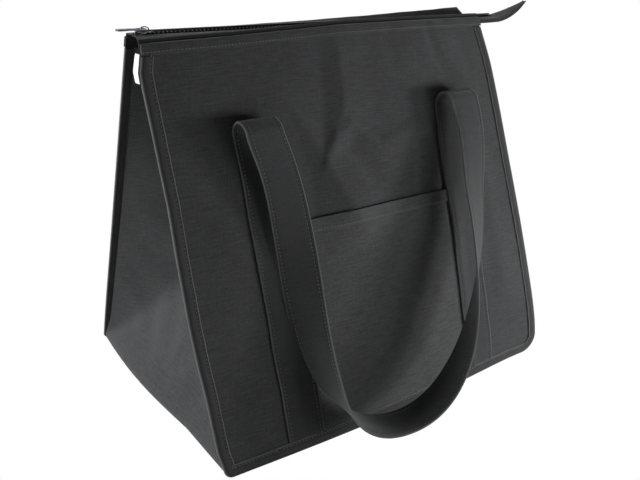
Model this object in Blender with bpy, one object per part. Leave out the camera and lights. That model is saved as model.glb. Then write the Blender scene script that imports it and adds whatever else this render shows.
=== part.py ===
"""Insulated cooler tote bag with folding side gussets, a zipped mouth and two hanging handles.

Metres, +Z up. The front faces -Y. The origin is the centre of the underside of the base.
"""

import math

import bmesh
import bpy
from mathutils import Matrix, Vector

# Overall form
BAG_WIDTH = 0.330
BAG_DEPTH = 0.241
MOUTH_HEIGHT = 0.290
MOUTH_HALF_GAP = 0.015
TOP_HALF_WIDTH = 0.162
CORNER_RADIUS = 0.012
CORNER_STEPS = 6

# Clearance between neighbouring pieces
GAP = 0.0003

# Sheet thicknesses
CLOTH = 0.0008
LINER = 0.0022
BINDING_CLOTH = 0.0006
STRAP_THICKNESS = 0.0016
TAPE_CLOTH = 0.0006
TAG_CLOTH = 0.0004

# Bound seams round each wall
BINDING_WIDTH = 0.009
HEM_LIFT = 0.0008
GUSSET_INSET = 0.0015

# Side gussets, folded inwards like the sides of a paper bag
APEX_HEIGHT = 0.137
APEX_DEPTH = 0.075
TOP_DEPTH = 0.100
FOLD_SOFTNESS = 0.008
CREASE_SOFTNESS = 0.003
RAMP_SOFTNESS = 0.006
GUSSET_TOP_DROP = 0.010
LINER_TOP_DROP = 0.020
GUSSET_LOW_ROWS = 9
GUSSET_HIGH_ROWS = 7
RIDGE_BAND = 0.007
RIDGE_FOOT_SHARE = 1.2
RIDGE_EDGE_SHARE = 1.5
INNER_COLUMN_SHARE = 0.4
FOLD_GAP = 0.0008
SLOPE_STEP = 0.0004

# Wall lining
LINER_SIDE_INSET = 0.010
LINER_TOP_SHARE = 0.94
BASE_LINER_INSET = 0.0055

# Band along the top edge of each wall
TOP_BAND_WIDTH = 0.008
TOP_BAND_CLOTH = 0.001

# Patch pocket between the front straps
POCKET_TOP_SHARE = 0.545
POCKET_TUCK = 0.006
POCKET_HEM_WIDTH = 0.010

# Carrying straps
STRAP_WIDTH = 0.030
STRAP_CENTRE_SHARE = 0.57
SEWN_SHARE = 0.77
FOLD_RADIUS = 0.0099
FOLD_STEPS = 5
LOOP_REACH = 0.0353
LOOP_JOIN_Z = 0.017
LOOP_JOIN_SHARE = -0.33
JOIN_TURN = math.radians(12.3)
JOIN_DIP = math.radians(-6.3)
JOIN_TWIST = math.radians(109.5)
LEFT_FALL_LENGTH = 0.0777
LEFT_FALL_LEAN = math.radians(9.8)
LEFT_FALL_DRIFT = 0.0352
LEFT_SPREAD_LENGTH = 0.0926
LEFT_TWIST_START_SHARE = 0.01
LEFT_TWIST_END_SHARE = 1.0
RIGHT_FALL_LENGTH = 0.030
RIGHT_FALL_LEAN = math.radians(14.2)
RIGHT_FALL_DRIFT = 0.0235
RIGHT_SPREAD_LENGTH = 0.0991
RIGHT_TWIST_START_SHARE = 0.0
RIGHT_TWIST_END_SHARE = 0.96
LOOP_HALF_STEPS = 22

# Zip fastener
ZIP_RISE = 0.0025
CHAIN_HALF_GAP = 0.0033
TAPE_SEAM_WIDTH = 0.008
TOOTH_PITCH = 0.0032
TOOTH_WIDTH = 0.0013
TOOTH_HALF_HEIGHT = 0.0012
TOOTH_REACH = 0.0009
TOOTH_CHAMFER = 0.0003
SPINE_INNER = 0.0014
SPINE_OUTER = 0.0030
CHAIN_OVERRUN = 0.0285
TAIL_LENGTH = 0.0765
TAIL_ROOT_HALF_WIDTH = 0.0130
TAIL_TIP_HALF_WIDTH = 0.0022
TAIL_RISE = 0.0125
TAIL_TAPER_POWER = 2.6
TAIL_SIDE_DROP = 0.004
TAIL_STEPS = 12
STOP_LENGTH = 0.0022
STOP_OUTER = 0.0029
STOP_INNER = 0.0006

# Zip slider and its puller
SLIDER_LENGTH = 0.011
SLIDER_HALF_WIDTH = 0.0049
SLIDER_LIP = 0.0008
SLIDER_PLATE = 0.0008
PLATE_GAP = 0.0004
LIP_GAP = 0.0003
WEB_OUTER = 0.0030
WEB_INNER = 0.0013
NOSE_LENGTH = 0.0035
BAIL_HALF_WIDTH = 0.0010
BAIL_POST = 0.0010
BAIL_HALF_LENGTH = 0.0036
BAIL_ROOF = 0.0007
BAIL_ROOT = 0.0002
PULLER_LENGTH = 0.021
PULLER_HALF_WIDTH = 0.0033
PULLER_THICKNESS = 0.0012
PULLER_BAR = 0.0014
PULLER_WINDOW_HALF_WIDTH = 0.0018
PULLER_WINDOW_LENGTH = 0.0050
PULLER_TIP_ROUND = 0.0020

# Small bare tag sewn in at the closed end of the zip
TAG_WIDTH = 0.0075
TAG_LENGTH = 0.0125
TAG_TOP_DROP = 0.0125
TAG_FROM_WALL = 0.0025

# Values that follow from the sizes above
HALF_WIDTH = BAG_WIDTH / 2
HALF_DEPTH = BAG_DEPTH / 2
SLOPE_LENGTH = math.hypot(HALF_DEPTH - MOUTH_HALF_GAP, MOUTH_HEIGHT)
LEAN = math.atan2(HALF_DEPTH - MOUTH_HALF_GAP, MOUTH_HEIGHT)
BINDING_OUT = GAP + BINDING_CLOTH
BINDING_IN = CLOTH + GAP + BINDING_CLOTH
LINING_NEAR = CLOTH + GAP
LINING_FAR = CLOTH + GAP + LINER
WALL_BACK = (BINDING_IN + GAP) / math.cos(LEAN)
BASE_HALF_DEPTH = HALF_DEPTH - WALL_BACK - GAP
GUSSET_RADIUS = CORNER_RADIUS - GUSSET_INSET
BASE_HALF_WIDTH = HALF_WIDTH - GUSSET_INSET - GUSSET_RADIUS - GAP
CLOTH_EDGE_BACK = WALL_BACK + CLOTH + 2 * GAP
FOLD_NEAR = CLOTH + FOLD_GAP
FOLD_FAR = FOLD_NEAR + LINER
LINER_EDGE_BACK = (LINING_FAR + GAP) / math.cos(LEAN) + FOLD_FAR + 2 * GAP
BAND_FOOT = SLOPE_LENGTH - TOP_BAND_WIDTH
BINDING_TOP = BAND_FOOT - GAP - TAPE_CLOTH
STRAP_FOOT = HEM_LIFT + BINDING_WIDTH + GAP
POCKET_TOP = POCKET_TOP_SHARE * SLOPE_LENGTH
STRAP_CENTRE = STRAP_CENTRE_SHARE * HALF_WIDTH
POCKET_HALF_WIDTH = STRAP_CENTRE - STRAP_WIDTH / 2 + POCKET_TUCK
SEWN_TOP = SEWN_SHARE * SLOPE_LENGTH
CREST_UP = SEWN_TOP + FOLD_RADIUS
CREST_OUT = GAP + FOLD_RADIUS
ZIP_Z = MOUTH_HEIGHT + ZIP_RISE
PLATE_INNER = TOOTH_HALF_HEIGHT + PLATE_GAP
PLATE_OUTER = PLATE_INNER + SLIDER_PLATE
LIP_INNER = TAPE_CLOTH / 2 + LIP_GAP
STOP_START = -TOP_HALF_WIDTH + GAP
SLIDER_START = STOP_START + STOP_LENGTH + GAP
SLIDER_X = SLIDER_START + SLIDER_LENGTH / 2
PULLER_CORNER = math.hypot(PULLER_BAR, PULLER_THICKNESS) / 2
PIVOT_Z = ZIP_Z + PLATE_OUTER + PULLER_CORNER + GAP
CHAIN_END = TOP_HALF_WIDTH + CHAIN_OVERRUN

FRONT = -1
BACK = 1
LEFT = -1
RIGHT = 1


def clear_scene():
    """Empty the scene of objects."""
    for thing in list(bpy.data.objects):
        bpy.data.objects.remove(thing, do_unlink=True)


def make_material(name, colour, roughness, metallic=0.0):
    """A Principled material of one colour."""
    material = bpy.data.materials.new(name)
    material.use_nodes = True
    shader = material.node_tree.nodes["Principled BSDF"]
    shader.inputs["Base Color"].default_value = (*colour, 1.0)
    shader.inputs["Roughness"].default_value = roughness
    shader.inputs["Metallic"].default_value = metallic
    material.diffuse_color = (*colour, 1.0)
    return material


def outer_cloth():
    """Charcoal woven outer cloth."""
    return make_material("charcoal_cloth", (0.035, 0.036, 0.040), 0.85)


def webbing_cloth():
    """Doubled charcoal cloth of the straps."""
    return make_material("strap_cloth", (0.030, 0.031, 0.034), 0.82)


def binding_cloth():
    """Smooth black tape round the seams."""
    return make_material("binding_tape", (0.022, 0.022, 0.025), 0.75)


def lining_foam():
    """Foil face of the insulating lining."""
    return make_material("foil_lining", (0.70, 0.71, 0.72), 0.35, 0.6)


def zip_cloth():
    """Black woven zip tape."""
    return make_material("zip_tape", (0.012, 0.012, 0.013), 0.8)


def zip_plastic():
    """Black moulded zip teeth."""
    return make_material("zip_teeth", (0.015, 0.015, 0.017), 0.4)


def slider_metal():
    """Dark lacquered metal of the slider."""
    return make_material("slider_metal", (0.030, 0.032, 0.045), 0.35, 0.8)


def tag_cloth():
    """White satin of the bare tag."""
    return make_material("tag_cloth", (0.80, 0.80, 0.78), 0.7)


def finish_object(name, shape, material, smooth_angle=math.radians(40.0)):
    """Turn a bmesh into an object with outward faces and smooth shading below an angle."""
    bmesh.ops.recalc_face_normals(shape, faces=shape.faces)
    data = bpy.data.meshes.new(name)
    shape.to_mesh(data)
    shape.free()
    data.materials.append(material)
    data.shade_smooth()
    data.set_sharp_from_angle(angle=smooth_angle)
    thing = bpy.data.objects.new(name, data)
    bpy.context.scene.collection.objects.link(thing)
    return thing


def join_grid(shape, grid, flip):
    """Add triangles over a grid of bmesh vertices, their diagonals mirrored about the middle column."""
    middle = (len(grid[0]) - 1) / 2
    for lower, upper in zip(grid, grid[1:]):
        for column in range(len(lower) - 1):
            a, b, c, d = lower[column], lower[column + 1], upper[column + 1], upper[column]
            pair = ((a, b, c), (a, c, d)) if column < middle else ((a, b, d), (b, c, d))
            for ring in pair:
                shape.faces.new(ring[::-1] if flip else ring)


def grid_border(grid):
    """Border vertices of a grid, in order round it."""
    right = [row[-1] for row in grid[1:]]
    left = [row[0] for row in grid[1:-1]]
    return list(grid[0]) + right + list(grid[-1][-2::-1]) + left[::-1]


def sheet_object(name, outside, inside, material):
    """A closed sheet between an outside grid and an inside grid of points."""
    shape = bmesh.new()
    near = [[shape.verts.new(point) for point in row] for row in outside]
    far = [[shape.verts.new(point) for point in row] for row in inside]
    join_grid(shape, near, False)
    join_grid(shape, far, True)
    near_rim, far_rim = grid_border(near), grid_border(far)
    for index, vertex in enumerate(near_rim):
        before = index - 1
        shape.faces.new((vertex, near_rim[before], far_rim[before], far_rim[index]))
    return finish_object(name, shape, material)


def slab_object(name, outline, near, thickness_step, material):
    """A flat outline of points, pushed through its thickness."""
    shape = bmesh.new()
    face = shape.faces.new([shape.verts.new(Vector(point) + near) for point in outline])
    pushed = bmesh.ops.extrude_face_region(shape, geom=[face])
    moved = [part for part in pushed["geom"] if isinstance(part, bmesh.types.BMVert)]
    bmesh.ops.translate(shape, verts=moved, vec=thickness_step)
    return finish_object(name, shape, material)


def swept_object(name, sections, material):
    """A body through a row of matching closed sections."""
    shape = bmesh.new()
    loops = [[shape.verts.new(point) for point in section] for section in sections]
    for first, second in zip(loops, loops[1:]):
        for index in range(len(first)):
            before = index - 1
            square = (first[before], first[index], second[index], second[before])
            shift = 0 if 0 < 2 * index < len(first) else 1
            shape.faces.new((square[0], square[1], square[2 + shift]))
            shape.faces.new((square[shift], square[2], square[3]))
    shape.faces.new(loops[0][::-1])
    shape.faces.new(loops[-1])
    return finish_object(name, shape, material)


def wall_point(across, up, out, side):
    """World point of a wall, from its sideways place, its height up the slope and its standoff."""
    depth = HALF_DEPTH - up * math.sin(LEAN) + out * math.cos(LEAN)
    return Vector((across, side * depth, up * math.cos(LEAN) + out * math.sin(LEAN)))


def wall_outward(side):
    """Unit vector out of a wall's outer face."""
    return Vector((0.0, side * math.cos(LEAN), math.sin(LEAN)))


def half_width_at(up):
    """Half width of a wall at a height up the slope."""
    return HALF_WIDTH - (HALF_WIDTH - TOP_HALF_WIDTH) * up / SLOPE_LENGTH


def mouth_half_depth(height):
    """Distance of a wall's outer face from the middle plane at a world height."""
    return HALF_DEPTH - (HALF_DEPTH - MOUTH_HALF_GAP) * height / MOUTH_HEIGHT


def wall_edge(inset, top):
    """Points down the left side, round both lower corners and up the right side of a wall."""
    radius = CORNER_RADIUS - inset
    centre_x, centre_up = HALF_WIDTH - CORNER_RADIUS, HEM_LIFT + CORNER_RADIUS
    turns = [math.pi / 2 * step / CORNER_STEPS for step in range(CORNER_STEPS + 1)]
    right = [(half_width_at(top) - inset, top)]
    for turn in turns:
        right.append((centre_x + radius * math.cos(turn), centre_up - radius * math.sin(turn)))
    left = [(-across, up) for across, up in right]
    return left + right[::-1]


def wall_slab(name, outline, low, high, side, material):
    """A flat piece of a wall between two standoffs."""
    points = [wall_point(across, up, low, side) for across, up in outline]
    step = wall_outward(side) * (high - low)
    return slab_object(name, points, Vector(), step, material)


def wall_panel(name, side, material):
    """Outer cloth of one wall, inside its binding."""
    outline = wall_edge(GAP + BINDING_CLOTH, SLOPE_LENGTH)
    return wall_slab(name, outline, -CLOTH, 0.0, side, material)


def wall_lining(name, side, material):
    """Foam lining behind one wall, clear of the seam allowance."""
    outline = wall_edge(LINER_SIDE_INSET, LINER_TOP_SHARE * SLOPE_LENGTH)
    return wall_slab(name, outline, -LINING_FAR, -LINING_NEAR, side, material)


def wall_binding(name, side, material):
    """Tape folded over the edge of one wall, left, bottom and right."""
    profile = (
        (0.0, BINDING_OUT),
        (BINDING_WIDTH, BINDING_OUT),
        (BINDING_WIDTH, GAP),
        (BINDING_CLOTH, GAP),
        (BINDING_CLOTH, -CLOTH - GAP),
        (BINDING_WIDTH, -CLOTH - GAP),
        (BINDING_WIDTH, -BINDING_IN),
        (0.0, -BINDING_IN),
    )
    edges = [wall_edge(inset, BINDING_TOP) for inset, _ in profile]
    outs = [out for _, out in profile]
    sections = []
    for station in zip(*edges):
        sections.append([wall_point(*place, out, side) for place, out in zip(station, outs)])
    return swept_object(name, sections, material)


def wall_top_band(name, side, material):
    """Narrow facing sewn along the top edge of one wall."""
    outline = []
    for across_sign, up in ((-1, SLOPE_LENGTH), (-1, BAND_FOOT), (1, BAND_FOOT), (1, SLOPE_LENGTH)):
        outline.append((across_sign * half_width_at(up), up))
    return wall_slab(name, outline, GAP, GAP + TOP_BAND_CLOTH, side, material)


def patch_pocket(name, material):
    """Open-topped pocket with a doubled hem, its sides tucked under the straps."""
    hem_half = POCKET_HALF_WIDTH - POCKET_TUCK - 2 * GAP
    hem_foot = POCKET_TOP - POCKET_HEM_WIDTH
    columns = (-POCKET_HALF_WIDTH, -hem_half - GAP, -hem_half, hem_half, hem_half + GAP, POCKET_HALF_WIDTH)
    rows = (STRAP_FOOT, hem_foot - GAP, hem_foot, POCKET_TOP)
    outside, inside = [], []
    for up in rows:
        doubled = [up >= hem_foot and abs(across) <= hem_half for across in columns]
        outs = [GAP + (2 if thick else 1) * CLOTH for thick in doubled]
        outside.append([wall_point(across, up, out, FRONT) for across, out in zip(columns, outs)])
        inside.append([wall_point(across, up, GAP, FRONT) for across in columns])
    return sheet_object(name, outside, inside, material)


def sewn_strap(name, side, hand, over_pocket, material):
    """Strap sewn flat up a wall, then rising off it to the crest of its fold."""
    inner, outer = STRAP_CENTRE - STRAP_WIDTH / 2, STRAP_CENTRE + STRAP_WIDTH / 2
    ledge = POCKET_HALF_WIDTH + GAP
    columns = (inner, ledge, ledge + 2 * CLOTH, outer)
    step = GAP + CLOTH if over_pocket else 0.0
    lifts = (step, step, 0.0, 0.0)
    rows = [(STRAP_FOOT, lifts), (POCKET_TOP + GAP, lifts)]
    rows += [(POCKET_TOP + 2 * CLOTH + GAP, (0.0,) * 4), (SEWN_TOP, (0.0,) * 4)]
    outside, inside = [], []
    for up, row_lifts in rows:
        places = [(hand * across, up, GAP + lift) for across, lift in zip(columns, row_lifts)]
        inside.append([wall_point(*place, side) for place in places])
        thick = wall_outward(side) * STRAP_THICKNESS
        outside.append([wall_point(*place, side) + thick for place in places])
    end_turn = math.pi / 2 - GAP / 2 / FOLD_RADIUS
    for index in range(1, FOLD_STEPS + 1):
        turn = end_turn * index / FOLD_STEPS
        for rows_out, radius in ((inside, FOLD_RADIUS), (outside, FOLD_RADIUS - STRAP_THICKNESS)):
            up = SEWN_TOP + radius * math.sin(turn)
            out = GAP + FOLD_RADIUS - radius * math.cos(turn)
            rows_out.append([wall_point(hand * across, up, out, side) for across in columns])
    return sheet_object(name, outside, inside, material)


def smooth_share(value):
    """Ease a share from nought to one."""
    held = min(max(value, 0.0), 1.0)
    return held * held * (3 - 2 * held)


def cubic_point(ends, share):
    """Point on a cubic curve through its four control points."""
    rest = 1 - share
    weights = (rest**3, 3 * rest**2 * share, 3 * rest * share**2, share**3)
    return sum((point * weight for point, weight in zip(ends, weights)), Vector())


def loop_half_path(hand, fall, spread, twist_shares):
    """Middle line and twist of one half of the front loop, from its crest to where the halves join."""
    middle = FOLD_RADIUS - STRAP_THICKNESS / 2
    stations = []
    start_turn = GAP / 2 / FOLD_RADIUS
    for index in range(FOLD_STEPS):
        turn = start_turn + (math.pi / 2 - start_turn) * index / FOLD_STEPS
        up, out = SEWN_TOP + middle * math.cos(turn), CREST_OUT + middle * math.sin(turn)
        stations.append((wall_point(hand * STRAP_CENTRE, up, out, FRONT), 0.0))
    start = wall_point(hand * STRAP_CENTRE, SEWN_TOP, CREST_OUT + middle, FRONT)
    join = Vector((LOOP_JOIN_SHARE * STRAP_CENTRE, -HALF_DEPTH - LOOP_REACH, LOOP_JOIN_Z))
    level = Vector((math.cos(JOIN_TURN), -math.sin(JOIN_TURN), 0.0)) * math.cos(JOIN_DIP)
    run = level - Vector((0.0, 0.0, math.sin(JOIN_DIP)))
    ends = (start, start + fall, join + run * hand * spread, join)
    full_twist = JOIN_TWIST if hand == LEFT else math.pi - JOIN_TWIST
    first, last = twist_shares
    for index in range(LOOP_HALF_STEPS + 1):
        share = index / LOOP_HALF_STEPS
        twist = full_twist * smooth_share((share - first) / (last - first))
        stations.append((cubic_point(ends, share), twist))
    return stations


def fall_vector(length, lean, drift):
    """Way in which the strap leaves its crest."""
    return Vector((drift, -math.sin(lean) * length, -math.cos(lean) * length))


def loop_sections():
    """Rectangular sections of the twisting strap, from the left crest round to the right crest."""
    left_fall = fall_vector(LEFT_FALL_LENGTH, LEFT_FALL_LEAN, LEFT_FALL_DRIFT)
    right_fall = fall_vector(RIGHT_FALL_LENGTH, RIGHT_FALL_LEAN, RIGHT_FALL_DRIFT)
    left_shares = (LEFT_TWIST_START_SHARE, LEFT_TWIST_END_SHARE)
    right_shares = (RIGHT_TWIST_START_SHARE, RIGHT_TWIST_END_SHARE)
    path = loop_half_path(LEFT, left_fall, LEFT_SPREAD_LENGTH, left_shares)
    right = loop_half_path(RIGHT, right_fall, RIGHT_SPREAD_LENGTH, right_shares)
    path += [(point, math.pi - twist) for point, twist in right[-2::-1]]
    points = [point for point, _ in path]
    sections = []
    for index, (point, twist) in enumerate(path):
        along = points[min(index + 1, len(points) - 1)] - points[max(index - 1, 0)]
        if index in (0, len(points) - 1):
            along = wall_outward(FRONT) * (1 if index == 0 else -1)
        along.normalize()
        across = Vector((math.cos(twist), -math.sin(twist), 0.0))
        across = (across - along * across.dot(along)).normalized()
        facing = along.cross(across)
        wide, thick = across * STRAP_WIDTH / 2, facing * STRAP_THICKNESS / 2
        corners = (wide + thick, -wide + thick, -wide - thick, wide - thick)
        sections.append([point + corner for corner in corners])
    return sections


def hanging_loop(name, side, material):
    """Carrying loop that hangs from its two crests and twists a quarter turn on each side."""
    flip = Vector((1.0, -side, 1.0))
    sections = [[corner * flip for corner in section] for section in loop_sections()]
    return swept_object(name, sections, material)


def gusset_edge(height, back):
    """Half depth of a gusset at a height, a distance behind the wall's outer face."""
    return mouth_half_depth(height) - back


def fold_rise(height):
    """Share of the low triangle's climb at a height, eased in at its foot."""
    above = height - GUSSET_RADIUS
    ramp = (above + math.hypot(above, RAMP_SOFTNESS) - RAMP_SOFTNESS) / 2
    return ramp / (APEX_HEIGHT - GUSSET_RADIUS)


def fold_depth(across, height):
    """How far a gusset is folded in from the bag's side."""
    edge = gusset_edge(height, CLOTH_EDGE_BACK)
    triangle = APEX_DEPTH * fold_rise(height)
    high_share = max(height - APEX_HEIGHT, 0.0) / (MOUTH_HEIGHT - APEX_HEIGHT)
    crease = APEX_DEPTH + (TOP_DEPTH - APEX_DEPTH) * high_share * high_share
    eased = math.hypot(across, CREASE_SOFTNESS) - math.hypot(edge, CREASE_SOFTNESS)
    side = -crease * eased / edge
    soft = FOLD_SOFTNESS * triangle / (triangle + FOLD_SOFTNESS)
    return (triangle + side - math.hypot(triangle - side, soft)) / 2


def gusset_face(across, height):
    """Outer face of the right gusset above its rounded foot."""
    up = height / math.cos(LEAN)
    side_x = half_width_at(up) - GUSSET_INSET
    return Vector((side_x - fold_depth(across, height), across, height))


def gusset_point(across, height, depth):
    """Point a depth behind the right gusset's outer face."""
    here = gusset_face(across, height)
    along = gusset_face(across + SLOPE_STEP, height) - gusset_face(across - SLOPE_STEP, height)
    upward = gusset_face(across, height + SLOPE_STEP) - gusset_face(across, height - SLOPE_STEP)
    outward = along.cross(upward).normalized()
    return here - outward * depth


def gusset_columns(height, back):
    """Depthwise places of one row's points, with a close pair on either side of the fold's ridge."""
    edge = gusset_edge(height, back)
    fallen = gusset_edge(height, CLOTH_EDGE_BACK) * (1 - fold_rise(height))
    room = gusset_edge(height, LINER_EDGE_BACK)
    band = min(RIDGE_BAND, room / 3)
    ridge = min(max(fallen, RIDGE_FOOT_SHARE * band), room - RIDGE_EDGE_SHARE * band)
    half = [ridge * INNER_COLUMN_SHARE, ridge - band, ridge, ridge + band, (ridge + band + room) / 2, edge]
    half = sorted(half)
    return [-place for place in reversed(half)] + [0.0] + half


def gusset_grid(back, depth, top, hand):
    """Grid of points over a gusset, from the base's edge round its foot and up the fold."""
    centre = Vector((HALF_WIDTH - GUSSET_INSET - GUSSET_RADIUS, 0.0, GUSSET_RADIUS))
    radius = GUSSET_RADIUS - depth
    grid = []
    for step in range(CORNER_STEPS):
        turn = math.pi / 2 * step / CORNER_STEPS
        foot = centre + Vector((math.sin(turn), 0.0, -math.cos(turn))) * radius
        columns = gusset_columns(GUSSET_RADIUS, back)
        grid.append([foot + Vector((0.0, across, 0.0)) for across in columns])
    low_step = (APEX_HEIGHT - GUSSET_RADIUS) / GUSSET_LOW_ROWS
    high_step = (top - APEX_HEIGHT) / GUSSET_HIGH_ROWS
    heights = [GUSSET_RADIUS + low_step * row for row in range(GUSSET_LOW_ROWS)]
    heights += [APEX_HEIGHT + high_step * row for row in range(GUSSET_HIGH_ROWS + 1)]
    for height in heights:
        grid.append([gusset_point(across, height, depth) for across in gusset_columns(height, back)])
    side = Vector((hand, 1.0, 1.0))
    return [[point * side for point in row] for row in grid]


def gusset_cloth(name, hand, material):
    """Outer cloth of one folded gusset."""
    top = MOUTH_HEIGHT - GUSSET_TOP_DROP
    outside = gusset_grid(CLOTH_EDGE_BACK, 0.0, top, hand)
    inside = gusset_grid(CLOTH_EDGE_BACK, CLOTH, top, hand)
    return sheet_object(name, outside, inside, material)


def gusset_lining(name, hand, material):
    """Foam lining of one folded gusset."""
    top = MOUTH_HEIGHT - LINER_TOP_DROP
    outside = gusset_grid(LINER_EDGE_BACK, FOLD_NEAR, top, hand)
    inside = gusset_grid(LINER_EDGE_BACK, FOLD_FAR, top, hand)
    return sheet_object(name, outside, inside, material)


def level_slab(name, half_x, half_y, low, high, material):
    """A rectangular sheet lying level."""
    outline = [(-half_x, -half_y, low), (half_x, -half_y, low), (half_x, half_y, low), (-half_x, half_y, low)]
    return slab_object(name, outline, Vector(), Vector((0.0, 0.0, high - low)), material)


def zip_half_tape(name, side, material):
    """One zip tape, level beside the teeth and turned down behind the wall's top edge."""
    start, end = -TOP_HALF_WIDTH, TOP_HALF_WIDTH
    half = TAPE_CLOTH / 2
    behind = CLOTH + GAP
    bend = wall_point(0.0, (ZIP_Z + half) / math.cos(LEAN), -behind, side).y * side
    foot_out = wall_point(0.0, SLOPE_LENGTH - TAPE_SEAM_WIDTH, -behind, side)
    foot_in = wall_point(0.0, SLOPE_LENGTH - TAPE_SEAM_WIDTH, -behind - TAPE_CLOTH, side)
    inner_bend = bend - TAPE_CLOTH / math.cos(LEAN)
    profile = (
        (CHAIN_HALF_GAP, ZIP_Z - half),
        (CHAIN_HALF_GAP, ZIP_Z + half),
        (bend, ZIP_Z + half),
        (foot_out.y * side, foot_out.z),
        (foot_in.y * side, foot_in.z),
        (inner_bend, ZIP_Z - half),
    )
    sections = [[Vector((x, side * y, z)) for y, z in profile] for x in (start, end)]
    return swept_object(name, sections, material)


def zip_teeth_row(name, side, start, end, material):
    """A comb of teeth; the two rows stand half a pitch apart so that they mesh."""
    count = int((end - start) / TOOTH_PITCH)
    outline = [(start, side * SPINE_OUTER), (start, side * SPINE_INNER)]
    shift = TOOTH_PITCH / 4 if side == FRONT else TOOTH_PITCH * 3 / 4
    first = math.ceil((start + TOOTH_WIDTH / 2 - shift) / TOOTH_PITCH) * TOOTH_PITCH + shift
    for index in range(count):
        middle = first + index * TOOTH_PITCH
        if middle + TOOTH_WIDTH / 2 > end:
            break
        half, flat = TOOTH_WIDTH / 2, TOOTH_WIDTH / 2 - TOOTH_CHAMFER
        root, neck, tip = SPINE_INNER, TOOTH_CHAMFER - TOOTH_REACH, -TOOTH_REACH
        outline += [(middle - half, side * root), (middle - half, side * neck)]
        outline += [(middle - flat, side * tip), (middle + flat, side * tip)]
        outline += [(middle + half, side * neck), (middle + half, side * root)]
    outline += [(end, side * SPINE_INNER), (end, side * SPINE_OUTER)]
    low = ZIP_Z - TOOTH_HALF_HEIGHT
    points = [(x, y, low) for x, y in outline]
    return slab_object(name, points, Vector(), Vector((0.0, 0.0, 2 * TOOTH_HALF_HEIGHT)), material)


def zip_stop(name, side, start, material):
    """A small block that ends one row of teeth."""
    low = ZIP_Z - TOOTH_HALF_HEIGHT
    inner, outer = side * STOP_INNER, side * STOP_OUTER
    end = start + STOP_LENGTH
    outline = [(start, inner, low), (end, inner, low), (end, outer, low), (start, outer, low)]
    return slab_object(name, outline, Vector(), Vector((0.0, 0.0, 2 * TOOTH_HALF_HEIGHT)), material)


def zip_tail(name, material):
    """Free end of the zip past the bag's corner: a boat of tape round the last teeth."""
    start = TOP_HALF_WIDTH + GAP
    slot_end = CHAIN_END + GAP
    shape = bmesh.new()
    rows = []
    slot_rows = 0
    for index in range(TAIL_STEPS + 1):
        share = index / TAIL_STEPS
        x = start + TAIL_LENGTH * share
        if x <= slot_end:
            slot_rows = index
        taper = 1 - share**TAIL_TAPER_POWER
        half = TAIL_TIP_HALF_WIDTH + (TAIL_ROOT_HALF_WIDTH - TAIL_TIP_HALF_WIDTH) * taper
        after = max(x - slot_end, 0.0) / (start + TAIL_LENGTH - slot_end)
        z = ZIP_Z + TAPE_CLOTH / 2 + TAIL_RISE * after * after
        inner = min(CHAIN_HALF_GAP, half / 2)
        brim = half - min(TAPE_CLOTH, half / 4)
        drop = TAIL_SIDE_DROP * taper
        places = ((-half, -drop), (-brim, 0.0), (-inner, 0.0), (inner, 0.0), (brim, 0.0), (half, -drop))
        rows.append([shape.verts.new((x, y, z + fall)) for y, fall in places])
    middle_column = 2
    for index, (near, far) in enumerate(zip(rows, rows[1:])):
        for column in range(len(near) - 1):
            if column == middle_column and index <= slot_rows:
                continue
            shape.faces.new((near[column], far[column], far[column + 1], near[column + 1]))
    thing = finish_object(name, shape, material)
    thick = thing.modifiers.new("thickness", "SOLIDIFY")
    thick.thickness = TAPE_CLOTH
    thick.offset = -1.0
    thick.use_even_offset = True
    return thing


def slider_section(height_sign):
    """Outline of one slider plate with its turned lips, seen along the zip."""
    wide, lip = SLIDER_HALF_WIDTH, SLIDER_HALF_WIDTH - SLIDER_LIP
    places = (
        (-wide, LIP_INNER),
        (-lip, LIP_INNER),
        (-lip, PLATE_INNER),
        (-WEB_OUTER, PLATE_INNER),
        (-WEB_INNER, PLATE_INNER),
        (lip, PLATE_INNER),
        (lip, LIP_INNER),
        (wide, LIP_INNER),
        (wide, PLATE_OUTER),
        (-wide, PLATE_OUTER),
    )
    return [(y, height_sign * z) for y, z in places]


def box_object(name, low, high, material):
    """An upright box between two corners."""
    foot = low[2]
    outline = [(low[0], low[1], foot), (high[0], low[1], foot)]
    outline += [(high[0], high[1], foot), (low[0], high[1], foot)]
    return slab_object(name, outline, Vector(), Vector((0.0, 0.0, high[2] - low[2])), material)


def as_cutter(thing):
    """Hide a helper solid from renders and draw it as wires."""
    thing.hide_render = True
    thing.display_type = "WIRE"
    return thing


def combine(thing, helper, operation, label):
    """Add an exact Boolean with a helper solid."""
    step = thing.modifiers.new(label, "BOOLEAN")
    step.operation = operation
    step.solver = "EXACT"
    step.object = as_cutter(helper)


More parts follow.
